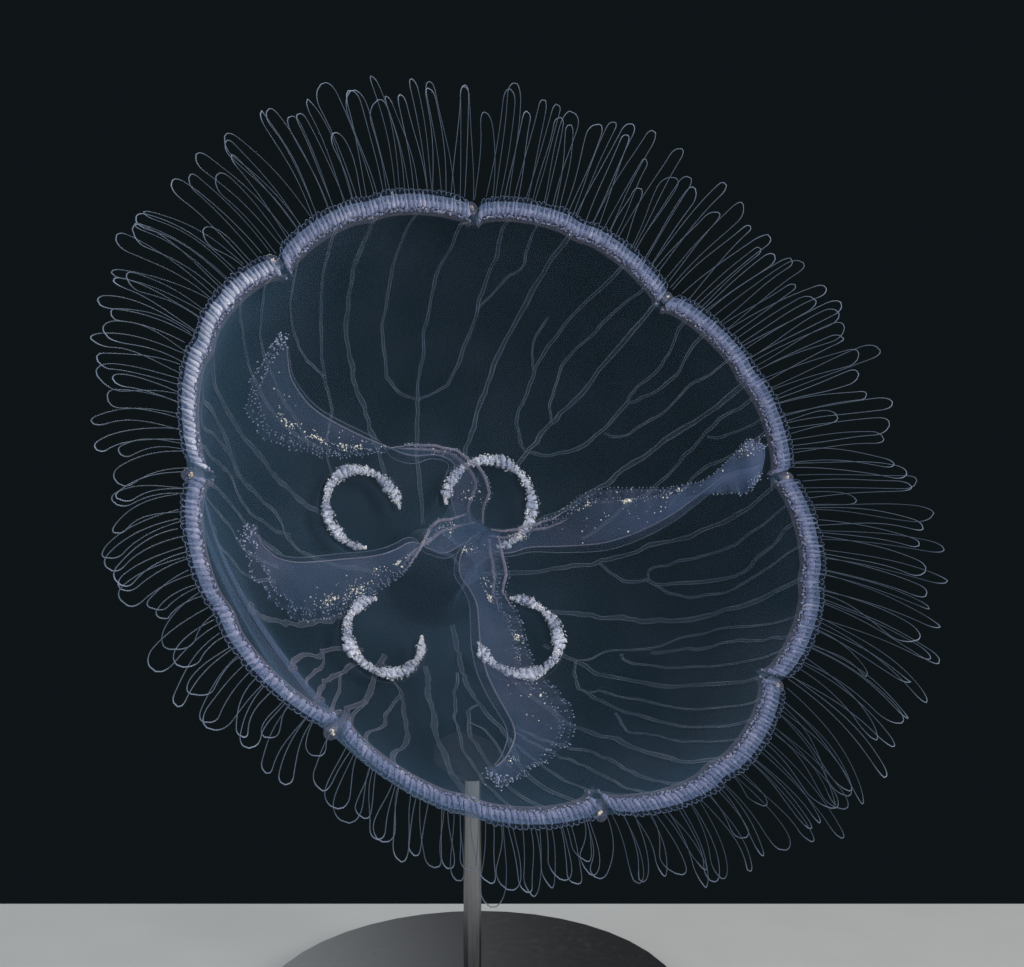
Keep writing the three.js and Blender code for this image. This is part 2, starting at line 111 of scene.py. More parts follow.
EDGE_FLARE = 1.8
EDGE_LEVEL = 2.2
EDGE_DROP = 3.2
FLARE_REACH = 18
LOBE_SIZES = np.array([1, 1, 1, 1.1, 1, 1.45, 1.1, 0.75])
LOBE_POWER = 0.55
DENT_DEPTH = 0.14
DENT_WIDTH = 0.05

# The bell is drawn in on the side that has begun to squeeze: how deep, about which angle and how
# far to each side of it, and the heights over which the wall leans in and comes back out.
TUCK_DEPTH = 10
TUCK_MIDDLE = 240
TUCK_REACH = 58
TUCK_RISE = 10
TUCK_FULL = 45
TUCK_TOP = 80

# How many millimetres of flesh one sees through: of each wall, more at the crown, over this share
# of the way down, and where the wall is drawn in, inside and outside, from this height down.
WALL_DEPTH = 1.18
CROWN_DEPTH = 1.2
CROWN_SHARE = 0.42
FOLD_DEPTHS = (1.75, 0.3)
FOLD_TOP = 42
FOLD_FADE = 20
# Where the wall is thicker: about which angle, how far to each side, and by how much.
THICK_SIDES = [(180, 32, 0.36), (296, 26, 0.75)]
# The bell's mesh: rows on each side of the wall, rows down the stalk, and points round it.
BELL_ROWS = 48
STALK_ROWS = 30
BELL_COLUMNS = 48 * OCTANTS

BAND_SLOPE = 38
BAND_RADIUS = 97.5
BAND_LEVEL = -1
BAND_FLARE = 5.5
BAND_END = 0.8
# How pale the band is after each sense organ, raised as painted light where it lies in shade.
BAND_PALENESS_AND_PAINTED_LIGHT = [0.82, 0.82, 0.8, 0.78, 0.75, 1.0, 1.2, 0.88]
# How far painted light brightens the bulbs towards white, where the band lies in shade.
BAND_PAINTED_LIGHT = [0, 0, 0, 0, 0, 0.1, 0.6, 0.1]
# The band's two flat bodies: middle, half width, half height and paleness.
BAND_BODIES = [(-1.3, 1.2, 0.4, 0.36), (0.6, 1.1, 0.2, 0.0)]
BULBS = 46
BULB_PITCH = (OCTANT_TURN - 2 * BAND_END) / BULBS
# A bulb along the band's slope: places from its middle, and the half width at each.
BULB_OUTS = np.array([-2.5, -2.2, -1.5, -0.7, 0.2, 1.2, 2.1, 2.5])
BULB_WIDTHS = np.array([0.15, 0.58, 0.78, 0.72, 0.55, 0.38, 0.24, 0.1])
BULB_SINK = -0.55
RIM_GRAINS = 260
# At a sense organ the band's ends hook inwards round it.
HOOK_DEPTH = 3.2
HOOK_TURN = 1.1

# How the feelers trail at each sense organ: length, lean to the mouth side, sideways heading at
# the root, how far that has turned at the tip, and half the width of their loops.
TRAIL = np.array([
    [34, 35, 2, -10, 2.0],
    [35, 35, 0, 8, 1.9],
    [38, 30, 10, 12, 2.3],
    [37, 28, 14, 42, 2.7],
    [22, 36, 10, 38, 2.6],
    [22, 30, -6, -28, 2.2],
    [27, 30, -14, -38, 2.2],
    [33, 34, -8, -30, 2.3],
])
# How bright the feelers are after each sense organ.
FEELER_SHINE = [1, 1, 0.9, 0.55, 0.75, 1, 1, 1]
FEELER_RADIUS = 0.08
BEAD_RADIUS = 0.145
BEAD_PITCH = 0.6
ORGAN_GRAINS = 14

# Each gonad's distance from the axis and its horseshoe's radius.
GONADS = [(36.5, 16.9), (38, 15), (33, 14), (34.5, 14.5)]
GONAD_OPENING = 95
GONAD_STEPS = 420
GONAD_GRAINS = 2200

MOUTH_LEVEL = 52
STALK_TOP_RADIUS = 18
STALK_WAIST_RADIUS = 10.5
STALK_MOUTH_RADIUS = 12
STALK_LOBES = 0.22
MOUTH_DEPTH = 9

# Each oral arm, from the mouth to the tip: where its keel, its near lip's edge and its far lip's
# edge show in the camera's frame, as x and y in pixels, and the keel's height in millimetres.
ARMS_SEEN = [
    [(462, 530, 484, 530, 474, 530, 56), (452, 505, 484, 511, 470, 508, 52),
     (450, 480, 490, 491, 478, 488, 47), (454, 465, 480, 469, 472, 472, 45),
     (438, 456, 452, 450, 450, 453, 43), (410, 455, 412, 445, 412, 448, 39),
     (375, 443, 378, 452, 380, 448, 35), (337, 425, 335, 456, 338, 450, 30),
     (316, 412, 300, 450, 305, 444, 26), (302, 398, 262, 434, 270, 430, 22),
     (290, 378, 248, 400, 257, 398, 18), (287, 360, 262, 361, 270, 364, 15),
     (286, 347, 275, 344, 281, 347, 12), (285, 336, 279, 333, 288, 334, 11)],
    [(480, 545, 486, 528, 484, 534, 56), (505, 553, 505, 530, 505, 536, 54),
     (530, 547, 524, 526, 526, 530, 52), (560, 546, 555, 516, 557, 522, 48),
     (592, 544, 580, 497, 583, 504, 43), (610, 541, 602, 490, 604, 500, 39),
     (632, 534, 628, 489, 630, 500, 34), (652, 525, 650, 489, 652, 497, 29),
     (672, 514, 668, 489, 671, 496, 23), (690, 501, 686, 485, 690, 496, 18),
     (706, 489, 704, 481, 709, 494, 13), (720, 478, 720, 469, 726, 492, 10),
     (735, 471, 736, 453, 742, 493, 7), (750, 468, 747, 441, 752, 487, 4),
     (763, 463, 763, 444, 760, 477, 3)],
    [(474, 535, 498, 531, 490, 535, 56), (462, 552, 504, 556, 494, 555, 55),
     (460, 574, 508, 576, 498, 576, 53), (470, 590, 504, 592, 496, 592, 50),
     (477, 605, 511, 604, 500, 606, 47), (479, 625, 521, 623, 510, 626, 43),
     (481, 648, 527, 648, 516, 650, 38), (487, 673, 538, 670, 524, 674, 34),
     (497, 695, 555, 690, 543, 696, 30), (506, 711, 569, 707, 557, 712, 26),
     (513, 725, 573, 730, 562, 729, 23), (515, 737, 565, 746, 553, 745, 20),
     (511, 749, 543, 762, 537, 760, 17), (504, 760, 520, 776, 516, 774, 14),
     (495, 767, 500, 784, 499, 780, 12), (486, 768, 486, 774, 487, 772, 11)],
    [(486, 530, 470, 512, 480, 520, 56), (465, 543, 452, 518, 455, 525, 56),
     (445, 553, 436, 521, 440, 530, 55), (428, 548, 427, 536, 429, 541, 53),
     (411, 543, 413, 560, 412, 554, 49), (396, 550, 402, 574, 402, 568, 46),
     (382, 555, 381, 589, 383, 582, 43), (365, 558, 357, 603, 360, 594, 40),
     (342, 560, 340, 613, 342, 603, 36), (321, 562, 318, 619, 320, 611, 32),
     (296, 563, 293, 617, 298, 609, 26), (278, 559, 270, 596, 280, 593, 22),
     (268, 552, 254, 575, 264, 571, 18), (260, 543, 245, 551, 255, 549, 15),
     (257, 533, 243, 535, 249, 537, 13), (257, 526, 248, 523, 254, 524, 12)],
]
# How much lower than the keel each lip's edge is, for each millimetre of the lip's width.
NEAR_DROP = 0.45
FAR_DROP = 0.05
LIP_BOW = 0.10
FIN_WIDTH = 3.0
# The thickness of each arm's flesh, from the mouth to the tip.
ARM_FLESH = [(1.5, 1.1, 0.75, 1.0), (1.5, 1.2, 5.0, 8.0), (1.5, 1.7, 1.35, 1.3), (1.5, 1.35, 1.15, 1.35)]
# How many frills and fine frills lie along a lip.
FRILLS = 15
FINE_FRILLS = 41
ARM_STATIONS = 500
ARM_ROWS = 205
LIP_COLUMNS = 13
PAPILLA_PITCH = 1.4
# How many papillae stand in the tuft at each arm's tip.
TUFTS = [60, 70, 40, 45]
# How far from the mouth each arm's lips have a thick pink edge.
CORD_SHARES = [0.45, 0.3, 0.3, 0.35]
RIB_STEPS = 160
CORD_STEPS = 60

# Clusters of food grains on each arm: share of the way, share of the lip's width, their spreads
# and their number, before they are crowded.
GRAIN_PATCHES = [
    [(0.10, 0.5, 0.03, 0.4, 16), (0.26, 0.3, 0.03, 0.4, 14), (0.58, 0.75, 0.05, 0.10, 34),
     (0.68, 0.72, 0.05, 0.08, 34), (0.78, 0.65, 0.03, 0.08, 26), (0.6, 0.5, 0.25, 0.4, 24)],
    [(0.12, 0.6, 0.05, 0.3, 40), (0.38, 0.8, 0.04, 0.06, 20), (0.50, 0.76, 0.02, 0.05, 30),
     (0.66, 0.85, 0.04, 0.08, 14), (0.5, 0.5, 0.3, 0.5, 26), (0.93, 0.7, 0.03, 0.3, 20)],
    [(0.08, 0.1, 0.02, 0.3, 24), (0.2, 0.5, 0.02, 0.15, 12), (0.26, 0.45, 0.03, 0.08, 30),
     (0.43, 0.85, 0.03, 0.1, 26), (0.6, 0.6, 0.2, 0.4, 26), (0.9, 0.3, 0.02, 0.2, 10)],
    [(0.10, 0.7, 0.03, 0.3, 34), (0.2, 0.6, 0.03, 0.3, 16), (0.38, 0.55, 0.02, 0.1, 26),
     (0.56, 0.75, 0.06, 0.12, 50), (0.68, 0.75, 0.05, 0.08, 40), (0.5, 0.6, 0.2, 0.3, 30)],
]
GRAIN_CROWDING = 1.7

# The last share of the way down the wall for a free canal, and for one on the side that is drawn
# in, where the canals are reddest about one angle. How far a canal stands off the wall, and the
# lengths of its wanderings.
FREE_CANAL_END = 0.985
CANAL_END = 0.93
RED_MIDDLE = 228
RED_REACH = 26
CANAL_LIFT = 0.35
CANAL_STEP = 0.9
CANAL_WAVES = [(6, 9), (10, 15), (18, 28)]
# How far the ring canal is from the band's middle, and its half width.
RING_CANAL_OUT = -3.7
RING_CANAL_WIDTH = 1.5
# How far the rim of a gonad's pit is from the gonad's middle line.
PIT_MARGIN = 2.7
FINE_STEPS = 120

# The canals under the roof: a half-width, then stations as (distance from the axis, angle). At
# the full distance of the inner wall, a canal has reached the margin.
RIM = 98
CANALS = [
    # Round sense organ 1.
    (0.75, [(20, 0), (46, 0), (65, 0)]),
    (0.5, [(65, 0), (69, 352), (77, 349), (90, 348), (RIM, 348)]),
    (0.5, [(65, 0), (80, 360), (92, 359), (RIM, 359)]),
    (0.55, [(65, 0), (69, 7), (76, 11), (90, 11), (96, 10), (RIM, 8)]),
    (0.35, [(90, 11), (95, 14), (97, 16), (RIM, 14)]),
    (0.8, [(38, 23), (60, 22), (80, 21), (RIM, 21)]),
    # Round sense organ 2.
    (0.65, [(52, 44), (63, 44)]),
    (0.5, [(62, 43), (65, 38), (71, 34), (82, 32), (90, 31), (RIM, 34)]),
    (0.3, [(83, 31), (87, 28), (93, 27)]),
    (0.75, [(63, 44), (74, 44), (85, 45), (RIM, 44)]),
    (0.4, [(74, 44), (79, 40), (87, 37), (95, 38), (RIM, 40)]),
    (0.6, [(63, 45), (66, 50), (77, 56), (90, 55)]),
    (0.4, [(90, 55), (93, 54), (97, 54), (RIM, 51)]),
    (0.45, [(90, 55), (95, 58), (RIM, 56)]),
    (0.35, [(82, 57), (84, 60), (90, 62), (97, 62), (RIM, 63)]),
    (0.85, [(38, 69), (70, 69), (85, 68), (RIM, 69)]),
    # Round sense organ 3.
    (0.75, [(20, 92), (50, 92), (64, 92)]),
    (0.5, [(60, 82), (76, 78), (90, 75), (96, 72), (RIM, 72)]),
    (0.35, [(96, 73), (97, 75), (RIM, 77)]),
    (0.45, [(86, 83), (93, 79), (RIM, 80)]),
    (0.7, [(64, 92), (80, 91), (92, 92), (RIM, 91)]),
    (0.45, [(64, 92), (67, 97), (71, 100), (77, 100)]),
    (0.4, [(77, 100), (80, 97), (92, 98), (RIM, 96)]),
    (0.55, [(77, 100), (80, 102), (94, 105), (97, 103), (RIM, 100)]),
    (0.35, [(79, 102), (84, 106), (93, 108), (RIM, 105)]),
    (0.85, [(36, 113), (66, 112), (84, 113), (RIM, 112)]),
    # Round sense organ 4.
    (0.6, [(48, 130), (60, 131)]),
    (0.45, [(60, 131), (63, 129), (68, 124), (80, 121)]),
    (0.35, [(80, 121), (86, 118), (94, 117), (RIM, 120)]),
    (0.5, [(80, 122), (90, 121), (96, 121), (RIM, 124)]),
    (0.35, [(72, 124), (76, 126), (90, 126), (RIM, 127)]),
    (0.7, [(60, 131), (70, 132), (90, 131), (RIM, 132)]),
    (0.5, [(60, 131), (63, 137), (68, 140), (82, 141), (RIM, 144)]),
    (0.35, [(69, 139), (75, 137), (90, 137), (RIM, 139)]),
    (0.35, [(79, 142), (84, 146), (92, 146), (RIM, 149)]),
    (0.85, [(40, 153), (72, 152), (86, 150), (RIM, 155)]),
    # Round sense organ 5.
    (0.6, [(62, 166), (74, 160), (84, 156), (93, 158), (RIM, 163)]),
    (0.5, [(64, 167), (76, 163), (88, 161), (RIM, 167)]),
    (0.5, [(66, 170), (79, 168), (RIM, 166)]),
    (0.8, [(20, 168), (34, 173), (45, 174), (64, 170), (80, 173), (RIM, 171)]),
    (0.6, [(51, 173), (53, 178), (62, 181), (74, 180), (RIM, 178)]),
    (0.4, [(57, 179), (63, 175), (76, 175)]),
    (0.45, [(38, 177), (50, 183), (66, 185), (84, 184), (RIM, 185)]),
    (1.0, [(36, 195), (50, 193), (66, 192), (83, 191), (RIM, 193)]),
    # Round sense organ 6.
    (0.75, [(41, 218), (44, 212), (50, 205), (59, 203), (68, 202), (81, 207), (RIM, 205)]),
    (0.5, [(50, 206), (59, 209), (66, 210), (75, 214), (86, 213)]),
    (0.95, [(38, 219), (49, 218), (58, 217), (68, 221), (77, 221), (RIM, 222)]),
    (0.5, [(59, 217), (70, 219), (80, 218)]),
    (0.7, [(44, 227), (55, 229), (65, 231), (74, 230), (RIM, 229)]),
    (0.5, [(56, 229), (64, 226), (76, 225), (88, 226)]),
    (0.8, [(42, 229), (47, 235), (55, 239), (58, 238), (67, 241), (89, 238), (RIM, 236)]),
    (0.5, [(55, 239), (60, 235), (68, 235), (88, 233)]),
    (0.95, [(38, 247), (47, 249), (60, 251), (70, 253), (87, 253), (RIM, 249)]),
    # Round sense organ 7.
    (0.7, [(20, 275), (40, 277), (54, 281), (62, 289), (76, 291), (90, 295), (RIM, 288)]),
    (0.55, [(55, 284), (70, 284), (83, 289), (93, 286), (RIM, 282)]),
    (0.5, [(78, 291), (87, 293), (96, 288), (RIM, 290)]),
    (0.6, [(58, 276), (72, 280), (82, 283), (92, 281), (RIM, 278)]),
    (0.5, [(60, 271), (75, 273), (84, 277), (RIM, 275)]),
    (0.5, [(62, 266), (76, 265), (90, 267), (RIM, 264)]),
    (0.85, [(36, 299), (60, 299), (80, 300), (RIM, 295)]),
    # Round sense organ 8.
    (0.55, [(50, 316), (60, 322), (68, 329), (78, 330), (90, 331), (RIM, 330)]),
    (0.5, [(60, 319), (72, 313), (86, 310), (96, 308), (RIM, 305)]),
    (0.5, [(66, 317), (78, 316), (92, 314), (RIM, 313)]),
    (0.35, [(78, 330), (84, 326), (92, 323), (RIM, 322)]),
    (0.8, [(38, 341), (60, 341), (74, 339), (90, 338), (RIM, 339)]),
]

# The bell's shape.


def mix(first, second, share):
    return first + (second - first) * share


def polar(distance, angle, height):
    turn = np.radians(angle)
    return np.stack(np.broadcast_arrays(distance * np.cos(turn), distance * np.sin(turn), height), axis=-1)


def lobe(angle):
    """0 in the notch of a sense organ and about 1 along the edge between two."""
    turns = np.mod(angle, 360) / OCTANT_TURN
    across = np.mod(turns, 1)
    arch = np.sin(np.pi * across) ** LOBE_POWER
    dent = DENT_DEPTH * np.exp(-(((across - 0.5) / DENT_WIDTH) ** 2))
    return LOBE_SIZES[np.floor(turns).astype(int) % OCTANTS] * (arch - dent)


def wall(fall, inside):
    """The wall's distance and height at a share of the way from the crown to the margin."""
    inset = (WALL_THICKNESS - SKIN_INSET) if inside else SKIN_INSET
    sink = (CROWN_THICKNESS - SKIN_INSET) if inside else SKIN_INSET
    turn = fall * np.pi / 2
    distance = (BELL_RADIUS - inset) * np.sin(turn) ** (2 / SIDE_POWER)
    height = (BELL_HEIGHT - sink) * np.cos(turn) ** (2 / CROWN_POWER)
    return distance, height


def fall_at(distance):
    """The inner wall's share of the way down at a distance from the axis."""
    share = np.minimum(np.asarray(distance, float) / RIM, 1)
    return np.arcsin(share ** (SIDE_POWER / 2)) / (np.pi / 2)


def tuck(angle, height):
    """How far the wall is drawn in at an angle and a height."""
    aside = np.minimum(np.abs(np.mod(angle, 360) - TUCK_MIDDLE) / TUCK_REACH, 1)
    around = np.cos(aside * np.pi / 2) ** 2
    leaned = 1 - np.exp(-((height / TUCK_RISE) ** 2))
    below = np.clip((TUCK_TOP - height) / (TUCK_TOP - TUCK_FULL), 0, 1)
    return TUCK_DEPTH * around * leaned * below * below * (3 - 2 * below)


def bell_point(angle, fall, inside, lift=0.0):
    """A point of the bell, with its lobed edge. lift moves it off the wall, to the inside."""
    distance, height = wall(fall, inside)
    near_edge = np.exp(-height / FLARE_REACH)
    distance = distance + EDGE_FLARE * lobe(angle) * near_edge - tuck(angle, height)
    height = height - (EDGE_DROP * lobe(angle) - EDGE_LEVEL) * near_edge
    turn = fall * np.pi / 2
    return polar(distance - lift * np.sin(turn), angle, height - lift * np.cos(turn))


# Making meshes.


def shown(name, data, place=(0, 0, 0)):
    """A new object in the scene."""
    thing = bpy.data.objects.new(name, data)
    thing.location = place
    bpy.context.scene.collection.objects.link(thing)
    return thing


class Piece:
    """Gathers points, faces, and a grade and a tint for each point, and makes one mesh of them."""

    def __init__(self):
        self.points = []
        self.faces = []
        self.grades = []
        self.tints = []
        self.count = 0

    def add(self, shape, grade=0.0, tint=0.0):
        """Adds a shape. A grade or tint is one number, or one for each point, ring or grain."""
        points, faces = shape
        self.points.append(points)
        self.faces.extend(face + self.count for face in faces)
        for known, values in ((self.grades, grade), (self.tints, tint)):
            values = np.atleast_1d(values)
            known.append(np.repeat(values, len(points) // len(values)))
        self.count += len(points)

    def made(self, name, finish, slot, *nodes):
        """The mesh as an object that rides on the model and stands for those nodes."""
        mesh = bpy.data.meshes.new(name)
        points = placed(np.concatenate(self.points))
        corners = np.concatenate([face.ravel() for face in self.faces])
        sizes = np.concatenate([np.full(len(face), face.shape[1]) for face in self.faces])
        mesh.vertices.add(len(points))
        mesh.vertices.foreach_set("co", points.ravel())
        mesh.loops.add(len(corners))
        mesh.loops.foreach_set("vertex_index", corners.astype(np.int32))
        mesh.polygons.add(len(sizes))
        mesh.polygons.foreach_set("loop_start", (np.cumsum(sizes) - sizes).astype(np.int32))
        mesh.update(calc_edges=True)
        mesh.polygons.foreach_set("use_smooth", np.ones(len(sizes), bool))
        for name_in_mesh, values in (("grade", self.grades), ("tint", self.tints)):
            attribute = mesh.attributes.new(name_in_mesh, "FLOAT", "POINT")
            attribute.data.foreach_set("value", np.concatenate(values).astype(np.float32))
        mesh.materials.append(finish)
        piece = shown(name, mesh)
        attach(piece, "root")
        if nodes:
            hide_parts(*nodes)


def ringed(rings, closed_ends=True):
    """Rings of equal length, anticlockwise about the way they travel, joined to a tube."""
    rings = np.asarray(rings, float)
    count, sides = rings.shape[:2]
    here = np.arange(count * sides).reshape(count, sides)
    after = np.roll(here, -1, axis=1)
    walls = np.stack([here[:-1], after[:-1], after[1:], here[1:]], axis=-1).reshape(-1, 4)
    faces = [walls]
    if closed_ends:
        faces += [here[0][::-1][None], here[-1][None]]
    return rings.reshape(-1, 3), faces


def sweep(route, widths, sides, up, heights=None):
    """A closed tube along a route. Widths and heights are half sizes, across and along up."""
    route = np.asarray(route, float)
    widths = np.broadcast_to(widths, len(route))
    heights = widths if heights is None else np.broadcast_to(heights, len(route))
    ahead = unit(np.gradient(route, axis=0))
    side = unit(np.cross(ahead, up))
    rise = np.cross(ahead, side)
    turn = np.arange(sides) * 2 * np.pi / sides
    rings = (
        route[:, None]
        + (widths[:, None] * np.cos(turn))[..., None] * side[:, None]
        + (heights[:, None] * np.sin(turn))[..., None] * rise[:, None]
    )
    return ringed(rings)


def smooth(stations, count):
    """A curve through stations, as that many points (a Catmull-Rom spline)."""
    stations = np.asarray(stations, float)
    padded = np.pad(stations, ((1, 1), (0, 0)), mode="reflect", reflect_type="odd")
    place = np.linspace(0, len(stations) - 1, count)
    first = np.minimum(place.astype(int), len(stations) - 2)
    part = (place - first)[:, None]
    a, b, c, d = (padded[first + step] for step in range(4))
    bend = (2 * a - 5 * b + 4 * c - d) * part ** 2 + (3 * b - a - 3 * c + d) * part ** 3
    return b + 0.5 * ((c - a) * part + bend)


def rounded(line, reach=3):
    """The same line with its sharp bends rounded over so many points."""
    padded = np.pad(line, ((reach, reach), (0, 0)), mode="reflect", reflect_type="odd")
    return np.mean([padded[step:step + len(line)] for step in range(2 * reach + 1)], axis=0)


def gone_along(line):
    """How far along the line each of its points lies."""
    steps = np.linalg.norm(np.diff(line, axis=0), axis=1)
    return np.concatenate([[0], np.cumsum(steps)])


def points_at(places, gone, line):
    """The line's points at some places. gone is where its own points lie."""
    return np.stack([np.interp(places, gone, column) for column in line.T], axis=-1)


def ball(around, down):
    """A unit sphere with its poles on Z: points and faces."""
    turn = np.arange(around) * 360 / around
    rings = []
    for row in range(1, down):
        fall = np.pi * row / down
        rings.append(polar(np.sin(fall), turn, -np.cos(fall)))
    points, faces = ringed(rings, closed_ends=False)
    low, high = len(points), len(points) + 1
    last = (down - 2) * around
    here = np.arange(around)
    after = (here + 1) % around
    faces.append(np.stack([after, here, np.full(around, low)], axis=-1))
    faces.append(np.stack([last + here, last + after, np.full(around, high)], axis=-1))
    return np.concatenate([points, [[0, 0, -1], [0, 0, 1]]]), faces


GRAIN = ball(6, 4)
DROP = ball(8, 6)


def seeds(centres, along, across, thickness, form=GRAIN):
    """Many small balls. along and across are vectors as long as half of each ball."""
    shape, faces = form
    centres = np.asarray(centres, float)
    along = np.broadcast_to(along, centres.shape)
    across = np.broadcast_to(across, centres.shape)
    third = unit(np.cross(along, across)) * np.broadcast_to(thickness, len(centres))[:, None]
    x, y, z = (shape[None, :, axis, None] for axis in range(3))
    points = centres[:, None] + x * across[:, None] + y * third[:, None] + z * along[:, None]
    starts = np.arange(len(centres))[:, None, None] * len(shape)
    many = [(face[None] + starts).reshape(-1, face.shape[1]) for face in faces]
    return points.reshape(-1, 3), many


def grains(centres, radii, random):
    """Many small round grains, each turned at random."""
    centres = np.asarray(centres, float)
    radii = np.broadcast_to(radii, len(centres))
    along = unit(random.normal(size=centres.shape))
    across = unit(np.cross(along, random.normal(size=centres.shape)))
    return seeds(centres, along * radii[:, None] * 1.2, across * radii[:, None], radii * 0.9)


# Finishes.


def operator(name, reflected=False):
    """A Math node between a wire and another wire or a number."""
    def operate(wire, other):
        return wire.math(name, other, wire) if reflected else wire.math(name, wire, other)
    return operate


class Wire:
    """A socket in the nodes of a finish. Sums of wires and numbers add their Math nodes."""

    def __init__(self, finish, socket=None):
        self.finish = finish
        self.socket = socket

    __add__, __radd__ = operator("ADD"), operator("ADD", True)
    __sub__, __rsub__ = operator("SUBTRACT"), operator("SUBTRACT", True)
    __mul__, __rmul__ = operator("MULTIPLY"), operator("MULTIPLY", True)
    __truediv__, __rtruediv__ = operator("DIVIDE"), operator("DIVIDE", True)
    __rpow__ = operator("POWER", True)

    def node(self, kind, settings=None, values=None, out=0):
        """Any node: its settings first, then its sockets' values or wires."""
        tree = self.finish.node_tree
        made = tree.nodes.new(kind)
        for name, value in (settings or {}).items():
            setattr(made, name, value)
        for name, value in (values or {}).items():
            if isinstance(value, Wire):
                tree.links.new(value.socket, made.inputs[name])
            else:
                made.inputs[name].default_value = value
        return Wire(self.finish, made.outputs[out] if made.outputs else None)

    def math(self, operation, first, second=0.0):
        return self.node("ShaderNodeMath", {"operation": operation}, {0: first, 1: second})

    def held(self, low=0.0, high=1.0):
        """The wire's value kept between two numbers."""
        return self.math("MINIMUM", self.math("MAXIMUM", self, low), high)

    def band(self, low, high):
        """0 up to low, 1 from high, and smooth between."""
        values = {"Value": self, "From Min": low, "From Max": high}
        return self.node("ShaderNodeMapRange", {"interpolation_type": "SMOOTHSTEP"}, values)

    def blend(self, first, second):
        """Two colours mixed by the wire's value."""
        return self.node("ShaderNodeMix", {"data_type": "RGBA"}, {0: self, 6: first, 7: second}, out=2)


def rgb(red, green, blue):
    return (red, green, blue, 1.0)


def started(name):
    """A new finish, as a wire to draw its nodes from."""
    finish = bpy.data.materials.new(name)
    finish.use_nodes = True
    finish.node_tree.nodes.clear()
    return Wire(finish)


def finished(wire, colour, roughness, shine=0.5, relief=None, depth=0.0, **more):
    """The finish with its shader. relief stands out by a depth in metres."""
    values = {"Base Color": colour, "Roughness": roughness, "Specular IOR Level": shine, **more}
    if relief:
        bump = {"Height": relief, "Distance": depth, "Strength": 1.0}
        values["Normal"] = wire.node("ShaderNodeBump", {}, bump)
    surface = wire.node("ShaderNodeBsdfPrincipled", {}, values)
    wire.node("ShaderNodeOutputMaterial", {}, {"Surface": surface})
    return wire.finish


def spots(wire, scale, detail=2.0):
    """Soft noise over the model. scale is in patches for each metre."""
    place = wire.node("ShaderNodeTexCoord", out=3)
    return wire.node("ShaderNodeTexNoise", {}, {"Vector": place, "Scale": scale, "Detail": detail})


def cells(wire, scale):
    """How far each point is from the middle of its cell."""
    place = wire.node("ShaderNodeTexCoord", out=3)
    return wire.node("ShaderNodeTexVoronoi", {}, {"Vector": place, "Scale": scale})


def grade(wire):
    return wire.node("ShaderNodeAttribute", {"attribute_name": "grade"}, out=2)


def tint(wire):
    return wire.node("ShaderNodeAttribute", {"attribute_name": "tint"}, out=2)


def slanted(wire):
    """0 where a surface is seen square on, and 1 at its edges."""
    return wire.node("ShaderNodeLayerWeight", {}, {"Blend": 0.5}, out=1)


NATURAL_BASE = 2.718


def seen_through(wire, thickness, haze):
    """How much of the light a clear sheet stops, from its haze for each millimetre.
    More of the sheet lies in the way where it is seen at a slant."""
    way = thickness * haze / (1.0 - slanted(wire)).held(0.1, 1.0)
    return 1.0 - NATURAL_BASE ** (0.0 - way)


def jelly_finish():
    """The clear flesh. A point's grade is how many millimetres of it one sees through, and its
    tint runs from the bell's deep blue to the arms' lilac blue."""
    wire = started("jelly")
    cloud = spots(wire, 45.0, 4.0)
    deep = cloud.band(0.35, 0.7).blend(rgb(0.075, 0.16, 0.255), rgb(0.105, 0.185, 0.295))
    lilac = cloud.band(0.35, 0.7).blend(rgb(0.10, 0.155, 0.29), rgb(0.17, 0.195, 0.33))
    colour = tint(wire).held().blend(deep, lilac)
    alpha = seen_through(wire, grade(wire) * (0.7 + 0.6 * cloud), 0.038).held(0.0, 0.95)
    return finished(wire, colour, 0.4, 0.05, cloud, 0.0004, Alpha=alpha, IOR=1.34)


def canal_finish():
    """Canals and ribs: grade runs from grey to lilac, and a tint past 1 to the lips' pink. Tint
    also makes them denser."""
    wire = started("canal_wall")
    cloud = spots(wire, 120.0, 3.0)
    grey = cloud.band(0.4, 0.65).blend(rgb(0.125, 0.175, 0.245), rgb(0.175, 0.22, 0.295))
    lilac = grade(wire).blend(grey, rgb(0.19, 0.19, 0.265))
    colour = (tint(wire) - 1.0).held().blend(lilac, rgb(0.36, 0.33, 0.43))
    thick = (1.0 + cloud) * (1.0 + 0.3 * grade(wire) + 4.5 * tint(wire))
    alpha = seen_through(wire, thick, 0.045).held(0.0, 0.9)
    return finished(wire, colour, 0.5, 0.1, cloud, 0.0003, Alpha=alpha)


def margin_finish():
    """The feeler bulbs: grade 0 is the bluish outer end and 1 the pale inner rim, and tint paints light
    onto the pale parts, where the band lies in shade."""
    wire = started("margin_bulbs")
    dots = cells(wire, 1500.0).band(0.1, 0.6)
    cloud = spots(wire, 300.0, 3.0)
    outer = cloud.blend(rgb(0.06, 0.11, 0.22), rgb(0.19, 0.26, 0.44))
    inner = dots.blend(rgb(0.50, 0.52, 0.78), rgb(0.26, 0.28, 0.46))
    pale = (cloud.band(0.5, 0.62) * 0.5).blend(inner, rgb(0.62, 0.60, 0.74))
    bulb = grade(wire).held().blend(outer, pale)
    # Painted light: grade and tint brighten the pale parts towards white where the band lies in shade.
    colour = (grade(wire) * tint(wire)).held().blend(bulb, rgb(0.85, 0.90, 1.0))
    alpha = seen_through(wire, 0.4 + grade(wire) * 1.2, 0.9).held(0.0, 0.97)
    return finished(wire, colour, 0.3, 0.35, dots, 0.0002, Alpha=alpha)


def threads_finish(name, size, dull, bright, roughness, shine):
    """Feelers and papillae: faint along their legs and brighter at the bend or head, by grade."""
    wire = started(name)
    cloud = spots(wire, size)
    share = (grade(wire) * (0.6 + 0.8 * cloud)).held()
    return finished(wire, share.blend(dull, bright), roughness, shine, cloud, 0.0001)


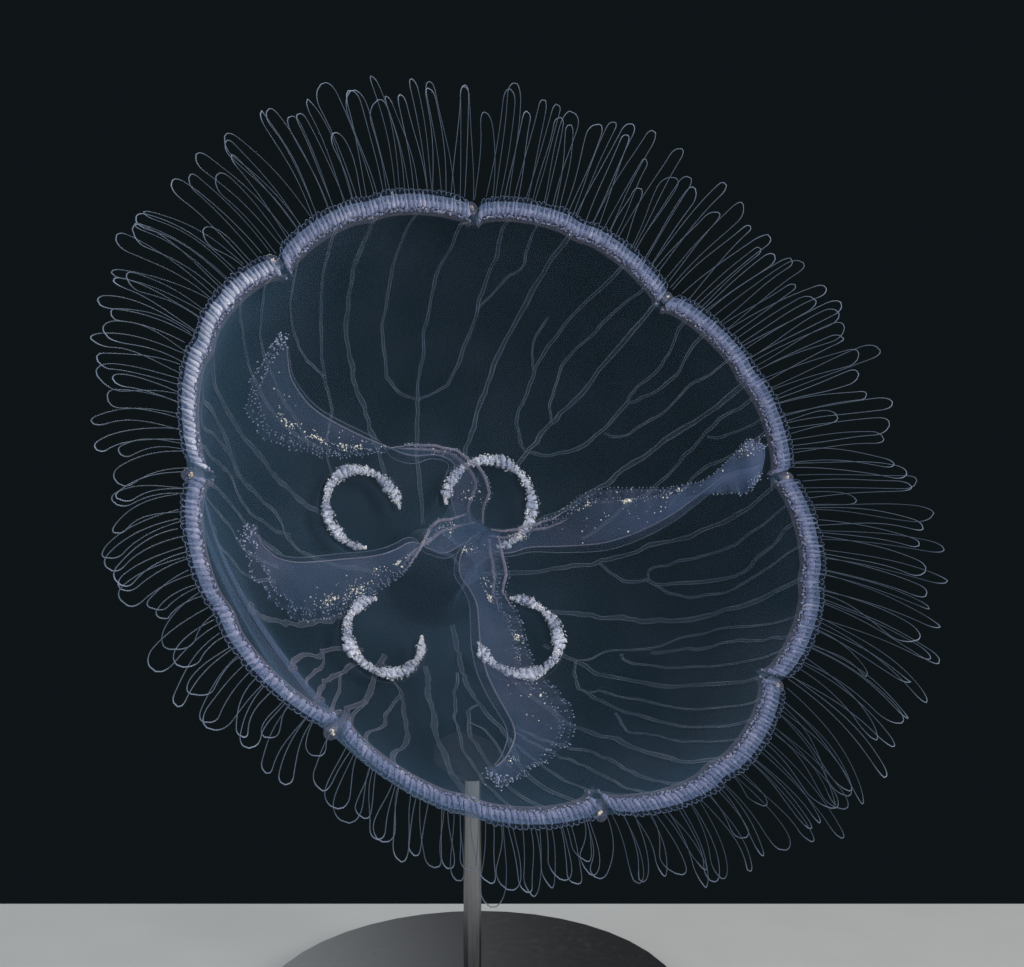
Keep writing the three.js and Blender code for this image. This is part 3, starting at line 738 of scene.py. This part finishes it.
def granule_finish(name, dull, bright, scale, clear=0.0):
    """Grainy tissue, dull in its hollows and bright on its grains. clear is how far one sees
    through it at its edges."""
    wire = started(name)
    dots = cells(wire, scale)
    cloud = spots(wire, scale / 5, 3.0)
    colour = (cloud.band(0.35, 0.65) * 0.5 + grade(wire) * 0.7).held().blend(dull, bright)
    more = {}
    if clear:
        slant = slanted(wire)
        more["Alpha"] = 1.0 - clear * slant * slant
    return finished(wire, colour, 0.35 + 0.3 * dots, 0.4, dots, 0.0003, **more)


def hood_finish():
    wire = started("organ_hood")
    cloud = spots(wire, 400.0)
    colour = cloud.blend(rgb(0.12, 0.15, 0.26), rgb(0.22, 0.24, 0.36))
    alpha = seen_through(wire, 0.6 + cloud, 0.13).held(0.0, 0.9)
    return finished(wire, colour, 0.25, 0.3, cloud, 0.0001, Alpha=alpha)


def black_finish():
    """Satin black acrylic with fine scratches and a little dust."""
    wire = started("stand_black_acrylic")
    grain = spots(wire, 2500.0)
    dust = spots(wire, 400.0, 5.0).band(0.45, 0.85)
    colour = dust.blend(rgb(0.012, 0.013, 0.015), rgb(0.020, 0.021, 0.023))
    return finished(wire, colour, 0.34 + 0.1 * dust + 0.1 * grain, 0.5, grain, 0.00002)


def steel_finish():
    """Steel brushed along the rod."""
    wire = started("stand_brushed_steel")
    place = wire.node("ShaderNodeTexCoord", out=3)
    drawn = wire.node("ShaderNodeMapping", {}, {"Vector": place, "Scale": (1.0, 1.0, 0.02)})
    lines = wire.node("ShaderNodeTexNoise", {}, {"Vector": drawn, "Scale": 5000.0, "Detail": 3.0})
    colour = lines.blend(rgb(0.24, 0.245, 0.255), rgb(0.38, 0.385, 0.395))
    return finished(wire, colour, 0.22 + 0.2 * lines, 0.5, lines, 0.00002, Metallic=1.0)


def floor_finish():
    wire = started("pale_floor")
    colour = spots(wire, 30.0, 4.0).blend(rgb(0.42, 0.42, 0.41), rgb(0.47, 0.47, 0.46))
    return finished(wire, colour, 0.7)


# The bell with its mouth stalk, and the oral arms, are one skin.

FLESH_NODES = ["bell_crown", "mouth_stalk"]
FLESH_NODES += [f"bell_octant_{number + 1}" for number in range(OCTANTS)]
FLESH_NODES += [f"oral_arm_{arm + 1}_{part}" for arm in range(ARMS) for part in ("base", "blade", "tip")]


def band_point(angle, out, up):
    """A point of the margin band: out along its slope from its middle, and up to the crown's side."""
    slope = np.radians(BAND_SLOPE)
    from_organ = np.abs(np.mod(angle + OCTANT_TURN / 2, OCTANT_TURN) - OCTANT_TURN / 2)
    hook = HOOK_DEPTH * np.exp(-((from_organ / HOOK_TURN) ** 2))
    distance = BAND_RADIUS + BAND_FLARE * lobe(angle) - hook
    distance = distance + out * np.cos(slope) + up * np.sin(slope)
    height = BAND_LEVEL - EDGE_DROP * lobe(angle) - out * np.sin(slope) + up * np.cos(slope)
    return polar(distance, angle, height)


def bell_depth(angle, fall, inside):
    """How thick and how lilac the flesh is: thick at the crown and on both sides of the squeezed
    one, and lilac where that one is drawn in, on the inside."""
    height = wall(fall, inside)[1]
    crown = np.clip(1 - fall / CROWN_SHARE, 0, 1)
    crown = crown * crown * (3 - 2 * crown)
    sides = sum(more * np.exp(-(((angle - middle) / reach) ** 2)) for middle, reach, more in THICK_SIDES)
    folded = tuck(angle, height) / TUCK_DEPTH * np.clip((FOLD_TOP - height) / FOLD_FADE, 0, 1)
    depth = WALL_DEPTH + CROWN_DEPTH * crown + sides * (1 - crown)
    return mix(depth, FOLD_DEPTHS[0 if inside else 1], folded), folded


def bell_shape():
    """From the crown's top down the outside, round the edge's thin flange, up the inside, down
    the four-lobed stalk and up into the mouth."""
    angle = np.arange(BELL_COLUMNS) * 360 / BELL_COLUMNS
    rings = []
    depths = []
    tints = []

    def ring(points, depth, lilac=0.0):
        rings.append(points[::-1])
        depths.append(np.broadcast_to(depth, BELL_COLUMNS)[::-1])
        tints.append(np.broadcast_to(lilac, BELL_COLUMNS)[::-1])

    for fall in np.linspace(0.02, 1, BELL_ROWS):
        ring(bell_point(angle, fall, False), *bell_depth(angle, fall, False))
    for out, up, depth in ((2.0, 0.5, 0.6), (3.0, 0.1, 0.4), (2.0, -0.1, 0.6), (-2.6, -0.1, 1.3)):
        ring(band_point(angle, out, up), depth, 0.5)
    edge_fall = fall_at(STALK_TOP_RADIUS + 3)
    for fall in np.linspace(1, edge_fall, BELL_ROWS):
        ring(bell_point(angle, fall, True), *bell_depth(angle, fall, True))
    top = wall(edge_fall, True)[1]
    stations = [
        (STALK_TOP_RADIUS, top - 0.4, 0.1),
        (mix(STALK_TOP_RADIUS, STALK_WAIST_RADIUS, 0.7), mix(top, MOUTH_LEVEL, 0.25), 0.5),
        (STALK_WAIST_RADIUS, mix(top, MOUTH_LEVEL, 0.6), 1.0),
        (STALK_MOUTH_RADIUS, MOUTH_LEVEL + 0.6, 1.0),
        (STALK_MOUTH_RADIUS * 0.82, MOUTH_LEVEL + 0.3, 1.0),
        (STALK_MOUTH_RADIUS * 0.55, MOUTH_LEVEL + 3, 1.0),
        (STALK_MOUTH_RADIUS * 0.3, MOUTH_LEVEL + MOUTH_DEPTH, 1.0),
    ]
    for distance, height, lobes in smooth(stations, STALK_ROWS):
        wave = 1 + STALK_LOBES * lobes * np.cos(np.radians(ARMS * angle))
        ring(polar(distance * wave, angle, height), 1.5, 0.3)
    return ringed(rings), np.concatenate(depths), np.concatenate(tints)


def arm_lines(arm):
    """The arm's share of the way at each of many stations, and its keel, near edge and far edge."""
    stations = np.array(ARMS_SEEN[arm], float)
    height = stations[:, 6]
    keel = seen_at(stations[:, 0], stations[:, 1], height)
    lines = [keel]
    for column, drop in ((2, NEAR_DROP), (4, FAR_DROP)):
        x, y = stations[:, column], stations[:, column + 1]
        width = np.linalg.norm(seen_at(x, y, height) - keel, axis=1)
        lines.append(seen_at(x, y, height - drop * width))
    fine = smooth(np.concatenate(lines, axis=1), ARM_STATIONS)
    gone = gone_along((fine[:, 0:3] + fine[:, 3:6]) / 2)
    return gone / gone[-1], fine[:, 0:3], fine[:, 3:6], fine[:, 6:9]


ARM_LINES = [arm_lines(arm) for arm in range(ARMS)]
KEEL, NEAR_EDGE, FAR_EDGE = 1, 2, 3


def on_line(arm, share, line):
    return points_at(share, ARM_LINES[arm][0], ARM_LINES[arm][line])


def arm_frame(arm, share, line):
    """On an arm: the keel's point, the reach to a lip's edge, and the sheet's own mouthward side."""
    point = on_line(arm, share, KEEL)
    reach = on_line(arm, share, line) - point
    ahead = on_line(arm, np.minimum(share + 0.02, 1), KEEL) - on_line(arm, np.maximum(share - 0.02, 0), KEEL)
    return point, reach, unit(np.cross(ahead, reach))


def lip_point(arm, share, out, lip, lift=0.0):
    """A point of an arm's lip. lip is 1 for the near lip and -1 for the far one, out runs from 0
    at the keel to 1 at the frilled edge, and lift is a height off the sheet to the mouth side."""
    share, out, lift = np.broadcast_arrays(np.asarray(share, float), out, lift)
    point, reach, mouthward = arm_frame(arm, share, NEAR_EDGE if lip > 0 else FAR_EDGE)
    width = np.linalg.norm(reach, axis=-1)
    bow = lip * LIP_BOW * width * np.sin(np.pi * np.minimum(out, 1))
    frill = 0.7 * out ** 3 * np.sin(2 * np.pi * share * (FRILLS + lip) + 2 * lip)
    frill += 0.35 * out ** 4 * np.sin(2 * np.pi * share * FINE_FRILLS + lip)
    frill *= np.clip(width / 8, 0, 1) * np.clip(8 * share, 0, 1)
    return point + out[..., None] * reach + (lift + bow + frill)[..., None] * mouthward


def fin_point(arm, share, out, lift=0.0):
    """A point of the clear fin along the keel, on the side away from the lips."""
    share, out, lift = np.broadcast_arrays(np.asarray(share, float), out, lift)
    point, reach, mouthward = arm_frame(arm, share, NEAR_EDGE)
    width = FIN_WIDTH * np.sin(np.pi * np.clip(share, 0.02, 0.98)) ** 0.6
    return point - (out * width)[..., None] * unit(reach) + lift[..., None] * mouthward


def arm_shape(arm):
    """Two frilled lips that meet in the keel, and the fin. A ring runs round the whole leaf."""
    across = np.linspace(0, 1, LIP_COLUMNS)
    back = across[::-1]
    sheet = 0.34 * (1 - across) + 0.14
    within = sheet * np.minimum(across / 0.3, 1)
    fin = np.array([0.15, 0.4, 0.7, 1.0])
    web = 0.09 + 0.2 * (1 - fin) ** 3

    def ring(share):
        return np.concatenate([
            lip_point(arm, share, back, 1, sheet[::-1]),
            fin_point(arm, share, fin, web),
            fin_point(arm, share, fin[::-1], -web[::-1]),
            lip_point(arm, share, across, -1, -sheet),
            lip_point(arm, share, back, -1, within[::-1]),
            lip_point(arm, share, across, 1, -within),
        ])

    shares = np.linspace(0, 1, ARM_ROWS)
    lip, edge = mix(1, 0.65, across), mix(0.5, 0.35, fin)
    around = np.concatenate([lip[::-1], edge, edge[::-1], lip, lip[::-1], lip])
    along = np.interp(shares, np.linspace(0, 1, len(ARM_FLESH[arm])), ARM_FLESH[arm])
    return ringed([ring(share) for share in shares]), np.outer(along, around).ravel(), 1.0


def make_skin(finish):
    skin = Piece()
    skin.add(*bell_shape())
    for arm in range(ARMS):
        skin.add(*arm_shape(arm))
    skin.made("bell_and_arms_skin", finish, "bell_jelly", *FLESH_NODES)


def canal_line(stations, random):
    """A canal's middle line on the inner wall, the way in from it, how red each of its points is
    and how far along it lies. On the squeezed side it ends above the fold."""
    distance, angle = np.array(stations, float).T
    laid = np.stack([fall_at(distance), np.unwrap(angle, period=360)], axis=-1)
    length = gone_along(bell_point(laid[:, 1], laid[:, 0], True))[-1]
    count = max(int(length / CANAL_STEP), 12)
    fall, angle = rounded(smooth(laid, count), 2).T
    red = np.exp(-(((np.mod(angle, 360) - RED_MIDDLE) / RED_REACH) ** 2))
    gone = np.linspace(0, length, count)
    waves = [random.uniform(shortest, longest) for shortest, longest in CANAL_WAVES]
    swing = sum(
        random.uniform(0.006, 0.02) * wave * np.sin(gone * 2 * np.pi / wave + random.uniform(0, 6))
        for wave in waves
    )
    radius = RIM * np.sin(np.clip(fall, 0.1, 1) * np.pi / 2) ** (2 / SIDE_POWER)
    angle = angle + np.degrees(swing * (1 - 0.4 * red) / radius)
    aside = np.abs(angle[-1] % 360 - TUCK_MIDDLE) / TUCK_REACH
    tucked = np.cos(np.minimum(aside, 1) * np.pi / 2) ** 0.5
    last = mix(FREE_CANAL_END, CANAL_END, tucked)
    fall = np.minimum(fall, 1) - (1 - last) * np.clip((fall - 0.6) / 0.4, 0, 1) ** 2
    route = bell_point(angle, fall, True, CANAL_LIFT)
    if distance[-1] == RIM and tucked < 0.3:
        brim = band_point(angle[-1], np.array([-3.4, -2.8, -2.2]), -0.4)
        route = np.concatenate([route[:-1], brim])
        angle, red = np.pad(angle, (0, 2), "edge"), np.pad(red, (0, 2), "edge")
        gone = np.append(gone, [length + 1, length + 2])
    return route, unit(polar(-1, angle, -0.4)), red, gone


def make_canals(finish):
    """Flat tubes with clear edges that run out to the bulbs, the ring canal inside the band, and
    the thin rim of each gonad's pit."""
    random = np.random.default_rng(4)
    piece = Piece()
    for width, stations in CANALS:
        route, inward, red, gone = canal_line(stations, random)
        swell = width * (1 + 0.2 * red + 0.18 * np.sin(gone / 3.1 + random.uniform(0, 6)))
        piece.add(sweep(route, swell, 8, inward, 0.5 * swell), red)
        aside = unit(np.cross(np.gradient(route, axis=0), inward))
        for edge in (-0.92, 0.92):
            border = route + (edge * swell)[:, None] * aside
            piece.add(sweep(border, 0.1, 4, inward), 0.5 * red, 1.0)
    for octant in range(OCTANTS):
        ends = octant * OCTANT_TURN + BAND_END, (octant + 1) * OCTANT_TURN - BAND_END
        along = np.linspace(*ends, FINE_STEPS)
        slope = band_point(along, 1, 0) - band_point(along, 0, 0)
        route = band_point(along, RING_CANAL_OUT, -0.3)
        piece.add(sweep(route, 0.12, 6, slope, RING_CANAL_WIDTH), 1.0)
    for number in range(ARMS):
        flat, out = gonad_route(number, FINE_STEPS)
        route = under_roof(flat + PIT_MARGIN * out, 0.5)
        piece.add(sweep(route, 0.13, 6, TO_AXIS), 0.2)
    piece.made("radial_canals", finish, "bell_jelly")


def make_margin(octant, finish):
    """The band of feeler bulbs along one lobe: its flat body, the bulbs, bright grains on its
    inner rim and on its face, and a scallop from each bulb to the next round the outside."""
    random = np.random.default_rng(20 + octant)
    piece = Piece()
    start = octant * OCTANT_TURN + BAND_END
    reach = OCTANT_TURN - 2 * BAND_END
    # Paler towards each bulb's inner end, and raised as painted light where the band lies in shade.
    bulb_pale_and_painted_light = BAND_PALENESS_AND_PAINTED_LIGHT[octant] * np.linspace(1, 0, len(BULB_OUTS)) ** 0.8
    along = np.linspace(start + 0.3, start + OCTANT_TURN - 2 * BAND_END - 0.3, 160)
    slope = band_point(along, 1, 0) - band_point(along, 0, 0)
    for middle, half, high, pale in BAND_BODIES:
        piece.add(sweep(band_point(along, middle, -0.35), high, 12, slope, half), pale)
    for bulb in range(BULBS):
        angle = start + (bulb + 0.5) * BULB_PITCH
        stretch = random.uniform(0.78, 1.12)
        girth = random.uniform(0.78, 1.15)
        shift = random.uniform(-0.45, 0.35)
        lean = random.uniform(-0.35, 0.35) * np.linspace(0, 1, len(BULB_OUTS))
        route = band_point(angle + lean, BULB_OUTS * stretch + shift, BULB_SINK)
        crown_side = band_point(angle, 0, 1) - band_point(angle, 0, 0)
        shape = sweep(route, BULB_WIDTHS * girth, 8, crown_side, BULB_WIDTHS * 1.05 * girth)
        # The tint paints light onto the bulbs where the band lies in shade.
        piece.add(shape, bulb_pale_and_painted_light * random.uniform(0.55, 1.25), BAND_PAINTED_LIGHT[octant])
    count = RIM_GRAINS
    angle = start + (np.arange(count) + random.uniform(0.2, 0.8, count)) * reach / count
    rim = band_point(angle, random.uniform(-3.7, -2.2, count), random.uniform(-0.9, 0.2, count))
    # The grains' paleness, raised as painted light where the band lies in shade.
    grain_pale_and_painted_light = BAND_PALENESS_AND_PAINTED_LIGHT[octant] * random.uniform(0.45, 1.0, count)
    piece.add(grains(rim, random.uniform(0.18, 0.42, count), random), grain_pale_and_painted_light)
    angle = angle + random.normal(0, 0.1, count)
    face = band_point(angle, random.uniform(-2.4, 1.0, count), random.uniform(-0.1, 0.35, count))
    piece.add(grains(face, random.uniform(0.12, 0.3, count), random), grain_pale_and_painted_light)
    for bulb in range(BULBS - 1):
        first = start + (bulb + 0.5) * BULB_PITCH
        arc = np.linspace(0, np.pi, 8)
        angle = first + BULB_PITCH * (0.5 - 0.5 * np.cos(arc))
        route = band_point(angle, 2.2 + 1.2 * np.sin(arc) * random.uniform(0.6, 1.3), -0.3)
        piece.add(sweep(route, 0.09, 5, TO_AXIS), 0.12)
    piece.made(f"margin_bulbs_{octant + 1}", finish, "margin_lilac")


def trail_at(angle):
    turns = np.mod(angle, 360) / OCTANT_TURN
    before = int(turns) % OCTANTS
    return mix(TRAIL[before], TRAIL[(before + 1) % OCTANTS], turns - int(turns))


def hairpin(angle, random):
    """One feeler: out from its bulb, round a bend and back to another bulb."""
    length, lean, sweep_side, curl, breadth = trail_at(angle)
    length *= random.uniform(0.85, 1.12) if random.random() > 0.07 else random.uniform(0.4, 0.7)
    lean += random.normal(0, 5)
    sweep_side += random.normal(0, 2.5)
    curl += random.normal(0, 6)
    half_foot = np.radians(BULB_PITCH * random.choice([0.5, 1.0, 1.5, 1.5, 2.0])) * BELL_RADIUS
    half_bend = breadth * np.clip(random.lognormal(0, 0.25), 0.65, 1.7)
    steps = int(length / BEAD_PITCH)
    share = np.linspace(0, 1, steps)
    sway = 4 * np.sin(5 * share + random.uniform(0, 6)) * share
    heading = np.radians(sweep_side + curl * share ** 1.4 + sway)
    tilt = np.radians(lean + 6 * np.sin(4 * share + random.uniform(0, 6)) * share)
    outward = polar(1, angle, 0)
    around = polar(1, angle + 90, 0)
    level = np.cos(heading)[:, None] * outward + np.sin(heading)[:, None] * around
    ahead = np.cos(tilt)[:, None] * level - np.sin(tilt)[:, None] * TO_AXIS
    side = np.cos(heading)[:, None] * around - np.sin(heading)[:, None] * outward
    centre = band_point(angle, 2.2, -0.4) + np.cumsum(ahead, axis=0) * length / steps
    bend_share = min(1.9 * half_bend / length, 0.6)
    swell = np.sin(np.minimum(share / (1 - 0.6 * bend_share), 1) * np.pi / 2) ** 2.2
    end = np.clip((share - (1 - bend_share)) / bend_share, 0, 1)
    half = mix(half_foot, half_bend, swell) * np.maximum(1 - end ** 2.2, 0) ** 0.5
    twist = random.uniform(-0.7, 0.7) * share
    skew = random.uniform(-0.45, 0.45) * share
    out_leg = centre - (half * (1 - skew))[:, None] * side + (twist * half)[:, None] * TO_AXIS
    back_leg = centre + (half * (1 + skew))[:, None] * side - (twist * half)[:, None] * TO_AXIS
    route = np.concatenate([out_leg, back_leg[::-1][1:]])
    brightness = np.concatenate([share, share[::-1][1:]])
    return evened(route, brightness)


def evened(route, brightness):
    """The same line with its points half a bead's pitch apart."""
    gone = gone_along(route)
    places = np.arange(0, gone[-1], BEAD_PITCH / 2)
    return points_at(places, gone, route), np.interp(places, gone, brightness)


def make_feelers(octant, finish):
    """Hairpins from every second bulb, each a string of beads, thickest and brightest at its bend."""
    random = np.random.default_rng(60 + octant)
    piece = Piece()
    start = octant * OCTANT_TURN + BAND_END
    for order in range(BULBS // 2):
        angle = start + (2 * order + 1) * BULB_PITCH
        route, brightness = hairpin(angle, random)
        beads = np.where(np.arange(len(route)) % 2, BEAD_RADIUS, FEELER_RADIUS)
        near_bend = np.clip((brightness - 0.88) / 0.12, 0, 1)
        radii = beads * (1 + 0.25 * near_bend)
        shine = random.uniform(0.6, 1.3) * (0.12 + 0.10 * brightness + 0.34 * near_bend)
        shine *= FEELER_SHINE[octant]
        piece.add(sweep(route, radii, 4, TO_AXIS), shine)
    piece.made(f"feelers_{octant + 1}", finish, "margin_lilac", f"margin_fringe_{octant + 1}")


def make_organ(octant, hood_look, spot_look):
    """A clear hood in the notch, and the bright grains of the sense organ in it."""
    random = np.random.default_rng(90 + octant)
    angle = octant * OCTANT_TURN
    out, around = polar(1, angle, 0), polar(1, angle + 90, 0)
    centre = polar(ORGAN_RADIUS, angle, ORGAN_LEVEL)
    hood = Piece()
    hood.add(seeds([centre], out * 3.1, around * 2.2, 1.1, ball(24, 16)))
    hood.add(seeds([centre - 0.8 * out], out * 1.5, around * 0.8, 0.6, DROP))
    hood.made(f"sense_hood_{octant + 1}", hood_look, "sense_organ", f"sense_organ_{octant + 1}")
    spot = Piece()
    places = centre + 0.6 * out + random.normal(0, 0.32, (ORGAN_GRAINS, 3))
    shine = random.uniform(0.2, 1.0, ORGAN_GRAINS)
    spot.add(grains(places, random.uniform(0.18, 0.42, ORGAN_GRAINS), random), shine)
    spot.made(f"sense_spot_{octant + 1}", spot_look, "sense_organ")


def gonad_route(number, count):
    """The middle line of a horseshoe under the roof, and the way out from its own middle."""
    distance, radius = GONADS[number]
    centre_angle = (number + 0.5) * ARM_TURN
    reach = 180 - GONAD_OPENING / 2
    turn = centre_angle + np.linspace(-reach, reach, count)
    flat = polar(distance, centre_angle, 0) + polar(radius, turn, 0)
    return flat, polar(1, turn, 0)


def under_roof(flat, drop):
    """Points with the roof's height less a drop."""
    distance = np.hypot(flat[:, 0], flat[:, 1])
    height = wall(fall_at(distance), True)[1] - drop
    return np.concatenate([flat[:, :2], height[:, None]], axis=1)


def make_gonad(number, ribbon_look, grain_look):
    """A horseshoe of folded ribbon, thick and thin by turns, with bright grains in its folds."""
    random = np.random.default_rng(120 + number)
    ribbon = Piece()
    flat, out = gonad_route(number, GONAD_STEPS)
    step = np.arange(GONAD_STEPS)
    full = 1.12 + 0.3 * np.sin(step * 0.047 + number) + 0.14 * np.sin(step * 0.113 + 2 * number)
    full *= np.clip(np.minimum(step, step[::-1]) / 25, 0.3, 1)
    fold = full * (0.95 * np.sin(step * 0.55 + 1.4 * np.sin(step * 0.09)) + 0.35 * np.sin(step * 1.3))
    drop = 2.6 + 0.5 * np.sin(step * 0.43) * full
    route = under_roof(flat + fold[:, None] * out, drop)
    width = (0.58 + 0.2 * np.sin(step * 0.37)) * full
    pale = 0.25 + 0.25 * np.sin(step * 0.061 + 3 * number)
    ribbon.add(sweep(route, width, 8, TO_AXIS, width * 1.3), pale)
    ribbon.made(f"gonad_ribbon_{number + 1}", ribbon_look, "gonad_white", f"gonad_{number + 1}")
    grain = Piece()
    pick = random.integers(0, GONAD_STEPS, GONAD_GRAINS)
    around = random.uniform(0, 2 * np.pi, GONAD_GRAINS)
    off = random.uniform(0.4, 1.9, GONAD_GRAINS) * full[pick]
    places = flat[pick] + (off * np.cos(around))[:, None] * out[pick]
    places = under_roof(places, 2.9 + off * np.sin(around))
    shine = random.uniform(0, 1.0, GONAD_GRAINS) ** 1.5 + 1.4 * pale[pick] - 0.3
    radii = random.gamma(3, 0.05, GONAD_GRAINS).clip(0.07, 0.32)
    grain.add(grains(places, radii, random), shine)
    grain.made(f"gonad_grains_{number + 1}", grain_look, "gonad_white")


def make_papillae(arm, finish, random):
    """Short stalks with round heads along both lips, in two rows, and a tuft of heads at the tip."""
    papillae = Piece()
    for lip, line in ((1, NEAR_EDGE), (-1, FAR_EDGE)):
        gone = gone_along(ARM_LINES[arm][line])
        places = np.arange(0, gone[-1], PAPILLA_PITCH)
        for out_share, bright in ((1.0, 0.75), (0.92, 0.4)):
            jitter = random.normal(0, 0.35, len(places))
            share = np.interp(places + jitter, gone, ARM_LINES[arm][0])
            foot = lip_point(arm, share, out_share, lip)
            width = np.linalg.norm(foot - on_line(arm, share, KEEL), axis=1)
            wide = width > 2.5
            foot, share, width = foot[wide], share[wide], width[wide]
            count = len(share)
            lift = random.uniform(-0.2, 0.5, count)
            tip = lip_point(arm, share, out_share + 0.55 / width, lip, lift)
            along = tip - foot
            across = unit(np.cross(along, TO_AXIS)) * 0.045
            papillae.add(seeds(foot + 0.3 * along, along * 0.6, across, 0.045))
            grown = np.clip(share * 6, 0.35, 1)
            shine = bright * grown * random.uniform(0.5, 1.2, count)
            papillae.add(grains(tip, random.uniform(0.12, 0.22, count) * grown, random), shine)
    for lip in (-1, 1):
        count = TUFTS[arm] // 2
        share = 1 - random.gamma(1.5, 0.02, count).clip(0, 0.12)
        out = random.uniform(0.7, 1.1, count)
        places = lip_point(arm, share, out, lip, random.normal(0, 0.5, count))
        places = places + random.normal(0, 0.8, (count, 3)) * random.uniform(0.3, 1.3, (count, 1))
        papillae.add(grains(places, random.uniform(0.14, 0.28, count), random), 0.7)
    papillae.made(f"arm_papillae_{arm + 1}", finish, "arm_jelly")


def make_ribs(arm, finish):
    """Two ribs along the keel, the fin's edge, and the thick pink edge of both lips."""
    ribs = Piece()
    share = np.linspace(0.02, 0.97, RIB_STEPS)
    _, _, mouthward = arm_frame(arm, share, NEAR_EDGE)
    for route, radius, red, bright in (
        (fin_point(arm, share, 0.0, 0.4), 0.18, 0.7, 1.2),
        (fin_point(arm, share, 0.12, 0.3), 0.12, 0.2, 0.0),
        (fin_point(arm, share, 1.0), 0.13, 0.2, 0.6),
    ):
        ribs.add(sweep(route, radius, 6, mouthward), red, bright)
    share = np.linspace(0.02, CORD_SHARES[arm], CORD_STEPS)
    thick = 0.5 * np.sin(np.linspace(0.5, np.pi, CORD_STEPS)) ** 0.8 + 0.03
    for lip, out_share in ((1, 0.96), (-1, 0.9)):
        route = lip_point(arm, share, out_share, lip, 0.3)
        ribs.add(sweep(route, thick, 8, mouthward[:CORD_STEPS]), 1.0, 1.25)
    ribs.made(f"arm_ribs_{arm + 1}", finish, "arm_jelly")


def make_food(arm, finish, random):
    """Clusters of food grains on the near lip."""
    grain = Piece()
    for share, out, spread, reach, count in GRAIN_PATCHES[arm]:
        count = int(count * GRAIN_CROWDING)
        shares = random.normal(share, spread / 2, count).clip(0.01, 0.99)
        outs = random.normal(out, reach / 2, count).clip(0.02, 1.0)
        radii = random.gamma(3, 0.045, count).clip(0.06, 0.34)
        shine = random.uniform(0.1, 1.2, count)
        grain.add(grains(lip_point(arm, shares, outs, 1, 0.45), radii, random), shine)
    grain.made(f"arm_grains_{arm + 1}", finish, "arm_jelly")


# Stage, lights and camera.

def make_camera():
    camera = bpy.data.cameras.new("camera")
    camera.sensor_width = SENSOR
    camera.sensor_fit = "HORIZONTAL"
    camera.lens = SENSOR * FRAME_DEPTH / FRAME_SIZE[0]
    holder = shown("camera", camera, Vector(RING_MIDDLE + MM * CAMERA_PLACE))
    holder.rotation_euler = (np.pi / 2, 0, 0)
    bpy.context.scene.camera = holder


def make_lamp(name, place, size, power, colour):
    lamp = bpy.data.lights.new(name, "AREA")
    lamp.shape = "DISK"
    lamp.size = size
    lamp.energy = power
    lamp.color = colour
    aim = Vector(RING_MIDDLE) - Vector(place)
    shown(name, lamp, place).rotation_euler = aim.to_track_quat("-Z", "Y").to_euler()


def make_stage(finish):
    low, high = (-1.2, -1.0), (1.2, 0.1)
    corners = [(low[0], low[1], 0), (high[0], low[1], 0), (high[0], high[1], 0), (low[0], high[1], 0)]
    mesh = bpy.data.meshes.new("floor")
    mesh.from_pydata(corners, [], [(0, 1, 2, 3)])
    mesh.materials.append(finish)
    shown("floor", mesh, (0, 0, -0.0005))


def make_room():
    """A dark backdrop. Everything in it is lit evenly from all round, as well as by the lamps."""
    world = bpy.data.worlds.new("room")
    world.use_nodes = True
    world.node_tree.nodes.clear()
    wire = Wire(world)
    seen = wire.node("ShaderNodeBackground", {}, {"Color": rgb(0.0048, 0.0074, 0.0088), "Strength": 1.0})
    soft = wire.node("ShaderNodeBackground", {}, {"Color": rgb(0.88, 0.95, 1.0), "Strength": 0.3})
    soft_rays = wire.node("ShaderNodeLightPath", out=2)
    both = wire.node("ShaderNodeMixShader", {}, {0: soft_rays, 1: seen, 2: soft})
    wire.node("ShaderNodeOutputWorld", {}, {"Surface": both})
    bpy.context.scene.world = world
    bpy.context.scene.view_settings.view_transform = "Standard"
    bpy.context.scene.cycles.transparent_max_bounces = 32


make_camera()
make_room()
make_stage(floor_finish())
make_lamp("key", (0.7, -0.6, 0.55), 0.4, 8.6, (1.0, 0.98, 0.95))
make_lamp("fill", (-0.6, -0.6, 0.35), 0.5, 2.4, (0.92, 0.96, 1.0))
make_lamp("back", (-0.3, 0.7, 0.6), 0.5, 3, (0.9, 0.95, 1.0))

jelly = jelly_finish()
canal = canal_finish()
margin = margin_finish()
feeler = threads_finish("feelers", 250.0, rgb(0.04, 0.06, 0.09), rgb(0.34, 0.42, 0.56), 0.5, 0.1)
papilla = threads_finish("papillae", 500.0, rgb(0.07, 0.10, 0.18), rgb(0.42, 0.46, 0.62), 0.35, 0.25)
hood = hood_finish()
gonad_ribbon = granule_finish("gonad_ribbon", rgb(0.22, 0.27, 0.40), rgb(0.72, 0.75, 0.90), 900.0, 0.9)
gonad_grain = granule_finish("gonad_grains", rgb(0.24, 0.29, 0.42), rgb(1.0, 0.98, 1.0), 1400.0, 0.6)
food_grain = granule_finish("food_grains", rgb(0.24, 0.28, 0.36), rgb(0.90, 0.85, 0.74), 1400.0)
organ_spot = granule_finish("organ_spot", rgb(0.6, 0.4, 0.25), rgb(1.0, 0.9, 0.7), 1400.0)

make_skin(jelly)
make_canals(canal)
for octant in range(OCTANTS):
    make_margin(octant, margin)
    make_feelers(octant, feeler)
    make_organ(octant, hood, organ_spot)
for arm in range(ARMS):
    make_gonad(arm, gonad_ribbon, gonad_grain)
    random = np.random.default_rng(150 + arm)
    make_papillae(arm, papilla, random)
    make_ribs(arm, canal)
    make_food(arm, food_grain, random)

black = black_finish()
for node, finish in (("stand_base", black), ("stand_cup", black), ("stand_rod", steel_finish())):
    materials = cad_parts[node].data.materials
    materials.clear()
    materials.append(finish)
